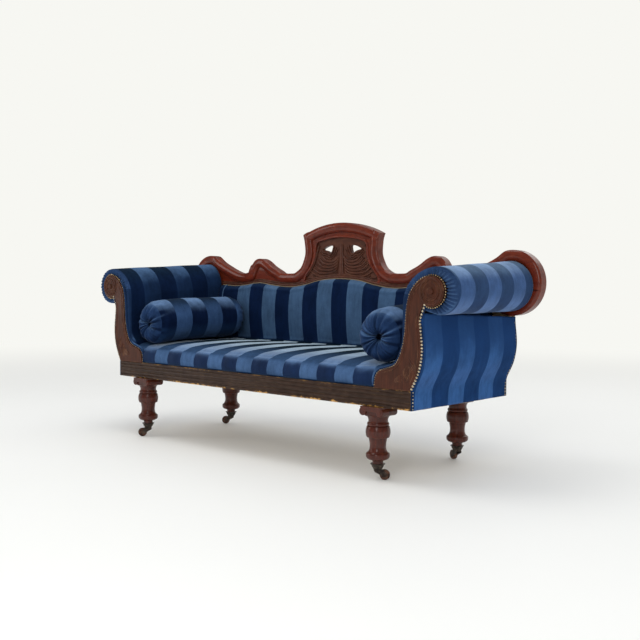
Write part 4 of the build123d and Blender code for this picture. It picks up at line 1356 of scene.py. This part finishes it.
@dataclass
class Bolster:
    """Loose round bolster with gathered ends, lying a little askew."""

    side: Side
    radius: float = 0.098
    half: float = 0.2625
    middle: tuple[float, float, float] = (0.655, -0.0319, 0.5391)
    skew: float = 4.0
    tilt: float = 1.5
    columns: int = 180
    cap_rows: int = 50
    plain_rows: int = 40
    knot: float = 0.011
    creases: tuple[float, ...] = (0.12, 0.55, 1.25, 1.7, 2.5, 2.85, 3.6, 4.3, 4.65, 5.4, 5.85)

    def profile(self, stripes: Stripes) -> np.ndarray:
        """Radius and place along the axis, from one gathered end to the other.

        Args:
            stripes: Stripes along the axis, which rows of points follow.

        Returns:
            Points of the profile.
        """
        r, h = self.radius, self.half
        end = [
            (0.0015, h - 0.036), (0.006, h - 0.034), (0.012, h - 0.021), (0.025, h - 0.005),
            (0.046, h + 0.001), (0.066, h - 0.006), (0.083, h - 0.021), (r - 0.002, h - 0.048),
        ]
        cap = smooth_path(end, self.cap_rows)
        rows = stripes.stations(-h + 0.048, h - 0.048, 0.011)[1:-1]
        wall = np.column_stack([r - 0.002 * (np.abs(rows) / h) ** 2, rows])
        return np.vstack([cap * [1, -1], wall, cap[::-1]])

    def gathers(self, a: np.ndarray) -> np.ndarray:
        """Depth of the creases drawn in to the middle of an end.

        Args:
            a: Angles round the bolster.

        Returns:
            Depths from about -1 in a crease to a little above 0 between them.
        """
        depth = np.full(len(a), 0.25)
        for k, crease in enumerate(self.creases):
            away = (a - crease + math.pi) % (2 * math.pi) - math.pi
            wide = 0.1 + 0.045 * math.sin(1.9 * k)
            depth -= (0.85 + 0.45 * math.sin(2.7 * k)) * np.exp(-((away / wide) ** 2))
        depth = depth + 0.22 * np.sin(19 * a + 2.2 * np.sin(3 * a))
        return depth + 0.25 * np.sin(2 * a + 0.6 + self.side.value)

    def build(self, palette: Palette) -> None:
        """Build and dress the bolster."""
        stripes = Stripes(-0.0727, 0.0887)
        line = self.profile(stripes)
        a = np.linspace(0, 2 * math.pi, self.columns, endpoint=False)
        r, along = line[:, 0][:, None], line[:, 1][:, None]
        fold = self.gathers(a)[None, :]
        near = np.clip((self.radius - 0.004 - r) / 0.045, 0, 1)
        pull = near**0.7 * np.clip(r / 0.012, 0, 1)
        reach = along + np.sign(along) * 0.0105 * pull * fold
        edge = np.clip((np.abs(along) - self.half + 0.075) / 0.05, 0, 1) * (1 - near)
        fore = np.clip(-along / self.half, 0, 1)
        wide = (r + 0.0022 * edge * fold) * (1 + 0.03 * fore)
        points = self.lie(wide * np.cos(a), reach, wide * np.sin(a))
        points[..., 2] -= 0.016 * np.clip((fore - 0.2) / 0.8, 0, 1) ** 2
        points[..., 2] += 0.0009 * soft_noise(points, 0.13, self.side.value * 1.3)
        n = self.columns
        marks = np.array(stripes.marks(np.clip(line[:, 1], -0.24, 0.24), n)).reshape(-1, n)
        marks[: self.plain_rows] = marks[-self.plain_rows :] = Pile.TURNED.value
        # Faces inside the knot take the near-black finish, painted shade in its hole.
        marks[line[:-1, 0] < self.knot] = Pile.DARK.value
        name = self.side.word + "_bolster_cover"
        marks = [*marks.ravel().tolist(), Pile.DARK.value, Pile.DARK.value]
        piece = make_mesh(name, points.reshape(-1, 3), closed_faces(len(line), n), marks)
        held = np.ones(points.shape[:2])
        held[self.cap_rows + 2 : -self.cap_rows - 2] = 0.0
        Stuffing(1.5, 0.003, 8).swell(piece, held.ravel())
        ends = ("gathered_velvet", "knot_painted_shade")
        palette.dress(piece, "bolster_velvet_cut", "bolster_velvet_flat", *ends)
        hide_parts(self.side.word + "_bolster")
        settle(piece, "bolster_" + self.side.word)

    def lie(self, across: np.ndarray, along: np.ndarray, up: np.ndarray) -> np.ndarray:
        """Lay points of a level bolster where it rests on the seat.

        Args:
            across: Places across the axis.
            along: Places along the axis.
            up: Heights above the axis.

        Returns:
            Points in space.
        """
        turn, rise = math.radians(self.skew) * self.side.value, math.tan(math.radians(self.tilt))
        axis = np.array([-math.sin(turn), math.cos(turn), rise])
        axis /= np.linalg.norm(axis)
        side = np.array([math.cos(turn), math.sin(turn), 0.0])
        above = np.cross(side, axis)
        centre = np.array([self.side.value * self.middle[0], *self.middle[1:]])
        return centre + across[..., None] * side + along[..., None] * axis + up[..., None] * above


@dataclass
class Underseat:
    """Woven webbing and hessian below the springs."""

    width: float = 0.052
    thick: float = 0.002
    across: tuple[float, float] = (-0.300, 0.313)
    along: float = 0.834
    pitch: float = 0.11
    cross_count: int = 11
    long_count: int = 4
    overlap: float = 0.035

    def strap(self, line: np.ndarray, side: np.ndarray) -> tuple[np.ndarray, list]:
        """One flat strap along a line.

        Args:
            line: Points of its middle.
            side: Direction across it.

        Returns:
            Points and faces.
        """
        up = np.array([0.0, 0.0, self.thick / 2 - 0.0002])
        half = side * self.width / 2
        loop = [line - half - up, line + half - up, line + half + up, line - half + up]
        grid = np.stack(loop, axis=1)
        return grid.reshape(-1, 3), closed_faces(len(line), 4)

    def build(self, palette: Palette) -> None:
        """Build and dress the webbing and the hessian."""
        middle = self.cross_count // 2
        cross_x = [self.pitch * (k - middle) for k in range(self.cross_count)]
        long_y = list(np.linspace(-0.199, 0.156, self.long_count))
        parts = []
        for k, x in enumerate(cross_x):
            y = np.linspace(*self.across, 60)
            z = np.full(len(y), RAIL_BOTTOM - 0.0011)
            for m, place in enumerate(long_y):
                over = 1 if (k + m) % 2 else 0
                z += 0.0011 * over * np.exp(-(((y - place) / self.overlap) ** 4))
            parts.append(self.strap(np.column_stack([np.full(len(y), x), y, z]), np.array([1.0, 0, 0])))
        cross = make_mesh("webbing_across", *joined(parts))
        parts = []
        for m, y in enumerate(long_y):
            x = np.linspace(-self.along, self.along, 160)
            z = np.full(len(x), RAIL_BOTTOM - 0.0033)
            for k, place in enumerate(cross_x):
                over = 1 if (k + m) % 2 else -1
                z -= 0.0006 * over * np.exp(-(((x - place) / self.overlap) ** 4))
            line = np.column_stack([x, np.full(len(x), y), z])
            parts.append(self.strap(line, np.array([0, 1.0, 0])))
        long = make_mesh("webbing_along", *joined(parts))
        totals = (
            (cross, "seat_webbing_cross", self.cross_count * 0.613),
            (long, "seat_webbing_long", self.long_count * 1.668),
        )
        for piece, node, total in totals:
            for polygon in piece.data.polygons:
                polygon.use_smooth = False
            palette.dress(piece, "jute_webbing")
            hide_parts(node)
            settle(piece)
        x, y = np.linspace(-0.764, 0.764, 60), np.linspace(-0.236, 0.26, 24)
        flat = np.zeros((len(x), len(y)))
        grid = np.stack([*np.meshgrid(x, y, indexing="ij"), flat], axis=-1)
        grid[..., 2] = 0.385 + 0.0006 * soft_noise(grid, 0.17, 0.3)
        sheet = make_mesh("spring_hessian", grid.reshape(-1, 3), grid_faces(len(x), len(y), False))
        palette.dress(sheet, "hessian")
        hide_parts("seat_hessian")
        settle(sheet)


# Trim and carving


@dataclass
class NailTrim:
    """Rows of domed brass nails along the edges of the facings and covers."""

    pitch: float = 0.0120
    radius: float = 0.0043
    facets: int = 9

    def dome(self, at: np.ndarray, out: np.ndarray, size: float) -> tuple[np.ndarray, list]:
        """One domed nail head.

        Args:
            at: Where it sits.
            out: Direction that it faces.
            size: Its radius.

        Returns:
            Points and faces.
        """
        out = out / np.linalg.norm(out)
        side = np.cross(out, [0.3, 0.5, 0.81])
        side /= np.linalg.norm(side)
        other = np.cross(out, side)
        n = self.facets
        a = np.linspace(0, 2 * math.pi, n, endpoint=False)
        rim = [(1.0, -0.12), (0.96, 0.16), (0.72, 0.44), (0.36, 0.6)]
        rows = []
        for wide, high in rim:
            spin = np.cos(a)[:, None] * side + np.sin(a)[:, None] * other
            rows.append(at + size * (wide * spin + high * out))
        verts = np.vstack([*rows, at + size * 0.65 * out])
        faces = grid_faces(len(rim), n, True)
        tip = len(rim) * n
        faces += [[tip - n + k, tip - n + (k + 1) % n, tip] for k in range(n)]
        return verts, [f[::-1] for f in faces] if np.dot(np.cross(side, other), out) < 0 else faces

    def row(
        self, path: np.ndarray, out: np.ndarray, size: float, pitch: float
    ) -> list[tuple[np.ndarray, list]]:
        """Nails evenly along a line.

        Args:
            path: Points of the line.
            out: Direction that each nail faces.
            size: Radius of a nail.
            pitch: Distance between nails.

        Returns:
            Points and faces of each nail.
        """
        run = float(np.linalg.norm(np.diff(path, axis=0), axis=1).sum())
        spots = even_path(path, max(2, round(run / pitch) + 1))
        sizes = [size * (1 + 0.06 * math.sin(7.3 * k)) for k in range(len(spots))]
        return [self.dome(spot, out, wide) for spot, wide in zip(spots, sizes)]

    def build(self, palette: Palette) -> None:
        """Nail both ends of the sofa."""
        for side in Side:
            s = side.value
            path = standing(facing_outer(0.0045)[3:], FRONT + 0.001, side)
            x, y = s * 0.8492, FRONT + 0.006
            foot = np.linspace((x, y, RAIL_BOTTOM + 0.006), (x, y, RAIL_TOP - 0.005), 9)
            parts = self.row(path, np.array([s * 0.6, -0.8, 0.0]), self.radius, self.pitch)
            parts += self.row(foot, np.array([s * 0.94, -0.34, 0.0]), self.radius, self.pitch)
            behind = facing_outer(0.0062)
            behind = behind[behind[:, 1] < 0.588]
            x, y = s * 0.8485, REAR_POST - 0.008
            path = standing(behind, y, side)
            low = np.linspace((x, y, RAIL_BOTTOM + 0.006), (x, y, RAIL_TOP - 0.004), 9)
            parts += self.row(np.vstack([low, path]), np.array([s, 0.1, 0.0]), self.radius, self.pitch)
            trim_piece(palette, side.word + "_brass_nails", parts, "nail_brass")
            inner = np.vstack([facing_inner(0.0035), ring(DISC, DISC_RADIUS + 0.0035, 99, -121, 80)])
            parts = self.row(standing(inner, -0.3085, side), np.array([0, -1.0, 0.0]), 0.0034, 0.0092)
            trim_piece(palette, side.word + "_gimp_nails", parts, "trim_brass")
            self.band(palette, side)

    def band(self, palette: Palette, side: Side) -> None:
        """Dark binding under the nails at both upright edges of an outside arm.

        Args:
            palette: Finishes to dress it with.
            side: Which end of the sofa.
        """
        parts = []
        for gap, y, top in ((0.0055, REAR_POST - 0.006, 0.586), (0.0052, FRONT + 0.006, 0.64)):
            line = facing_outer(gap)
            line = line[line[:, 1] < top]
            foot = np.linspace((0.8475, RAIL_BOTTOM + 0.001), (0.8475, RAIL_TOP - 0.004), 12)
            parts.append(tube(standing(np.vstack([foot, line]), y, side), 0.0042, 8, flat=1.3))
        name = side.word + "_edge_binding"
        trim_piece(palette, name, parts, "inner_border_velvet")


@dataclass
class FacingCarving:
    """Raised lines, eye scroll and foot leaf on one facing."""

    side: Side
    face: float = FRONT

    def build(self, palette: Palette) -> None:
        """Build and dress the carving."""
        parts = []
        inner, outer = facing_inner(-0.009)[22:150], facing_outer(-0.011)[4:84]
        for line, size in ((inner, 0.0016), (outer, 0.0016), (facing_inner(-0.0155)[44:146], 0.001)):
            step = np.arange(len(line))
            taper = np.clip(np.minimum(step, step[::-1]) / 8, 0.15, 1)
            parts.append(tube(standing(line, self.face, self.side), size * taper, 8))
        spin = np.radians(np.linspace(95, -640, 150))
        reach = np.linspace(0.046, 0.013, 150)
        scroll = np.column_stack([DISC[0] + reach * np.cos(spin), DISC[1] + reach * np.sin(spin)])
        size = np.linspace(0.0036, 0.0024, 150)
        parts.append(tube(standing(scroll, self.face + 0.0014, self.side), size, 8))
        parts += self.leaf((0.868, 0.395), 118, 0.078) + self.leaf((0.772, 0.368), 28, 0.066)
        parts += self.leaf((0.815, 0.360), 74, 0.092)
        name = self.side.word + "_facing_carving"
        trim_piece(palette, name, parts, "facing_wood")

    def leaf(
        self, root: tuple[float, float], angle: float, long: float
    ) -> list[tuple[np.ndarray, list]]:
        """A carved leaf of five curling ribs.

        Args:
            root: Where its stem starts, in X and Z.
            angle: Direction of its middle rib, in degrees.
            long: Its length.

        Returns:
            Points and faces of each rib.
        """
        ribs = []
        for k in range(-2, 3):
            heading = math.radians(angle + 15 * k)
            bend = 0.55 * k
            t = np.linspace(0, 1, 26)
            reach = long * (1 - 0.14 * abs(k))
            turn = heading - bend * t**2
            step = reach / 26 * np.stack([np.cos(turn), np.sin(turn)], axis=1)
            line = np.cumsum(step, axis=0) + np.array(root)
            size = 0.0044 * np.sin(math.pi * (0.1 + 0.86 * t)) ** 0.8
            ribs.append(tube(standing(line, self.face + 0.0014, self.side), size, 8, flat=0.75))
        return ribs


@dataclass
class CrestCarving:
    """The fillet along the foot of the crest and the draped carving of its panel."""

    back: BackUpholstery

    def build(self, palette: Palette) -> None:
        """Build and dress the mouldings and the drapery."""
        x = np.linspace(-0.80, 0.80, 380)
        low = self.back.top_line(np.clip(x, -0.79, 0.79))
        parts = []
        for rise, size, proud in ((0.0075, 0.0062, 0.001), (0.0165, 0.0036, 0.0004)):
            line = np.column_stack([x, np.full(len(x), CREST_FRONT - proud), low + rise])
            parts.append(tube(line, size, 10, flat=0.8))
        trim_piece(palette, "crest_fillet", parts, "panel_wood")
        parts = []
        for s in (-1, 1):
            for k in range(6):
                near, far = 0.013 + 0.002 * k, 0.120 + 0.0135 * k
                high, sag = 0.838 - 0.0148 * k, 0.026 - 0.0012 * k
                spots = [
                    (near, high), (0.8 * near + 0.2 * far, high - 0.8 * sag),
                    ((near + far) / 2, high - sag), (0.22 * near + 0.78 * far, high - 0.72 * sag),
                    (far, high + 0.004),
                ]
                line = smooth_path([(s * a, b) for a, b in spots], 40)
                size = (0.0062 - 0.0003 * k) * np.sin(math.pi * np.linspace(0.08, 0.92, 40)) ** 0.5
                parts.append(tube(standing(line, CREST_FRONT + 0.0038), size, 10, flat=1.2))
            parts += self.eyelid(s)
            stile = [(0.213, 0.745), (0.178, 0.786), (0.157, 0.826), (0.144, 0.866), (0.136, 0.885)]
            side = smooth_path([(s * a, b) for a, b in stile], 50)
            parts.append(tube(standing(side, CREST_FRONT + 0.004), 0.0055, 8))
        for z in (0.7365, 0.7455, 0.754):
            wide = 0.205 - 4.0 * (z - 0.7365)
            line = np.column_stack([np.linspace(-wide, wide, 40), np.full(40, z)])
            parts.append(tube(standing(line, CREST_FRONT + 0.0045), 0.0032, 8))
        stem = np.column_stack([np.zeros(40), np.linspace(0.752, 0.889, 40)])
        stem = standing(stem, CREST_FRONT + 0.004)
        parts.append(tube(stem, np.linspace(0.016, 0.0095, 40), 12, flat=0.42))
        trim_piece(palette, "crest_drapery", parts, "panel_wood")

    @staticmethod
    def eyelid(s: int) -> list[tuple[np.ndarray, list]]:
        """Curled leaves round one pierced eye.

        Args:
            s: Sign of the side of the panel.

        Returns:
            Points and faces of each leaf.
        """
        curves = [
            [(124, 868), (104, 853), (84, 851), (66, 841), (52, 858), (45, 884)],
            [(130, 862), (108, 844), (88, 842), (66, 832), (46, 846), (33, 876)],
            [(134, 856), (112, 834), (90, 832), (68, 823), (44, 836), (24, 866)],
        ]
        parts = []
        for k, curve in enumerate(curves):
            line = smooth_path([(s * a, b) for a, b in from_mm(curve)], 44)
            size = (0.0044 - 0.0004 * k) * np.sin(math.pi * np.linspace(0.08, 0.92, 44)) ** 0.4
            parts.append(tube(standing(line, CREST_FRONT + 0.003 + 0.0007 * k), size, 8, flat=1.2))
        return parts


class FrameDress:
    """Finishes on the pieces that keep their own solid shape."""

    RULES: tuple[tuple[str, str], ...] = (
        ("castor_wheel", "castor_brass"), ("castor_axle", "castor_brass"), ("castor", "castor_iron"),
        ("_leg_bearer", "frame_timber"), ("_leg", "leg_mahogany"), ("cartouche_panel", "panel_wood"),
        ("crest", "crest_mahogany"), ("facing", "facing_wood"), ("front_seat_rail", "rail_wood"),
        ("springs", "spring_wire"),
    )

    def build(self, palette: Palette, nodes: dict[str, bpy.types.Object]) -> None:
        """Dress every node by its name.

        Args:
            palette: The finishes.
            nodes: Objects of the frame, by name.
        """
        for name, node in nodes.items():
            finish = next((f for word, f in self.RULES if word in name), "frame_timber")
            palette.dress(node, finish)
            if finish != "frame_timber":
                node.data.polygons.foreach_set("use_smooth", [True] * len(node.data.polygons))
        LOG.info("dressed %d frame pieces", len(nodes))


@dataclass
class Studio:
    """Floor, light and camera."""

    eye: tuple[float, float, float] = (2.7233, -2.8693, 0.7169)
    yaw: float = 42.04
    pitch: float = -2.38
    roll: float = 0.46
    lens: float = 51.31

    def build(self) -> None:
        """Set the stage."""
        self.floor()
        self.sky()
        self.lamp("key", (2.0, -3.3, 1.9), (0.8, 2.4), 27.0)
        self.lamp("top", (-0.5, -0.6, 3.3), (1.5, 1.5), 22.0)
        self.lamp("fill", (-3.0, -2.2, 1.5), (0.6, 2.2), 13.0)
        self.lamp("rear", (0.4, 3.2, 2.6), (2.0, 2.0), 12.0)
        self.camera()
        bpy.context.scene.view_settings.view_transform = "Standard"

    def floor(self) -> None:
        """A wide pale floor."""
        verts = 30.0 * np.array([(-1, -1, 0), (1, -1, 0), (1, 1, 0), (-1, 1, 0)], float)
        ground = make_mesh("floor", verts, [[0, 1, 2, 3]])
        material = bpy.data.materials.new("pale_floor")
        material.use_nodes = True
        g = Graph(material.node_tree)
        shader = material.node_tree.nodes["Principled BSDF"]
        cloud = g.noise(g.place(), 1.3, 3.0, 0.5)
        g.put(shader.inputs["Base Color"], g.mix(cloud, (0.88, 0.88, 0.845), (0.9, 0.9, 0.87)))
        shader.inputs["Roughness"].default_value = 0.6
        away = g.add("ShaderNodeVectorMath", {0: g.place()}, operation="LENGTH").outputs["Value"]
        rays = g.add("ShaderNodeLightPath")
        seen = g.math("MAXIMUM", rays.outputs["Is Camera Ray"], rays.outputs["Is Glossy Ray"])
        seen = g.math("MAXIMUM", seen, rays.outputs["Is Transmission Ray"])
        fade = g.math("MULTIPLY", g.ease(away, 1.8, 7.0), seen)
        glow = g.add("ShaderNodeEmission", {"Color": BACKDROP, "Strength": 1.0})
        both = g.add("ShaderNodeMixShader", {0: fade, 1: shader.outputs[0], 2: glow.outputs[0]})
        g.put(material.node_tree.nodes["Material Output"].inputs["Surface"], both.outputs[0])
        ground.data.materials.append(material)

    @staticmethod
    def sky() -> None:
        """Even light from all round, seen as a pale backdrop."""
        world = bpy.data.worlds.new("studio")
        bpy.context.scene.world = world
        world.use_nodes = True
        tree = world.node_tree
        g = Graph(tree)
        seen = g.add("ShaderNodeLightPath")
        g.fill(tree.nodes["Background"], {"Color": (0.97, 0.98, 1.0), "Strength": 0.9})
        wall = g.add("ShaderNodeBackground", {"Color": BACKDROP, "Strength": 1.0})
        turned = g.axis(g.add("ShaderNodeTexCoord").outputs["Generated"], 1)
        shade = g.mix(g.ease(turned, 0.6, 0.98), (0.2, 0.2, 0.19), BACKDROP)
        room = g.add("ShaderNodeBackground", {"Color": shade, "Strength": 1.0})
        even = tree.nodes["Background"].outputs[0]
        glossy = seen.outputs["Is Glossy Ray"]
        mixed = g.add("ShaderNodeMixShader", {0: glossy, 1: even, 2: room.outputs[0]})
        pick = g.math("MAXIMUM", seen.outputs["Is Camera Ray"], seen.outputs["Is Transmission Ray"])
        mixed = g.add("ShaderNodeMixShader", {0: pick, 1: mixed.outputs[0], 2: wall.outputs[0]})
        g.put(tree.nodes["World Output"].inputs["Surface"], mixed.outputs[0])

    @staticmethod
    def lamp(
        name: str, at: tuple[float, float, float], size: tuple[float, float], power: float
    ) -> None:
        """A soft lamp that faces the sofa.

        Args:
            name: Its name.
            at: Where it hangs.
            size: Its width and height.
            power: Its power in watts.
        """
        data = bpy.data.lights.new(name, "AREA")
        data.shape = "RECTANGLE"
        data.size, data.size_y = size
        data.energy = power
        lamp = bpy.data.objects.new(name, data)
        lamp.location = at
        lamp.rotation_mode = "QUATERNION"
        lamp.rotation_quaternion = (Vector((0, 0, 0.45)) - Vector(at)).to_track_quat("-Z", "Y")
        bpy.context.scene.collection.objects.link(lamp)

    def camera(self) -> None:
        """The photograph's point of view."""
        yaw, pitch, roll = (math.radians(a) for a in (self.yaw, self.pitch, self.roll))
        level = math.cos(pitch)
        ahead = Vector((-math.sin(yaw) * level, math.cos(yaw) * level, math.sin(pitch)))
        right = Vector((math.cos(yaw), math.sin(yaw), 0))
        up = right.cross(ahead)
        across = right * math.cos(roll) + up * math.sin(roll)
        top = -right * math.sin(roll) + up * math.cos(roll)
        data = bpy.data.cameras.new("camera")
        data.lens = self.lens
        data.sensor_width = 36.0
        data.clip_end = 100.0
        camera = bpy.data.objects.new("camera", data)
        frame = Matrix((across, top, -ahead)).transposed().to_4x4()
        frame.translation = Vector(self.eye)
        camera.matrix_world = frame
        bpy.context.scene.collection.objects.link(camera)
        bpy.context.scene.camera = camera


def main() -> None:
    """Build every sub-assembly in order."""
    logging.basicConfig(level=logging.INFO, format="%(message)s")
    bpy.ops.object.select_all(action="SELECT")
    bpy.ops.object.delete()
    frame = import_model()
    palette = Palette()
    FrameDress().build(palette, frame["nodes"])
    SeatUpholstery().build(palette)
    back = BackUpholstery()
    back.build(palette)
    OutsideBack().build(palette)
    for side in Side:
        ArmUpholstery(side).build(palette)
        OutsideCover(side).build(palette)
        Bolster(side).build(palette)
        FacingCarving(side).build(palette)
    NailTrim().build(palette)
    CrestCarving(back).build(palette)
    Underseat().build(palette)
    Studio().build()


if __name__ == "__main__":
    main()
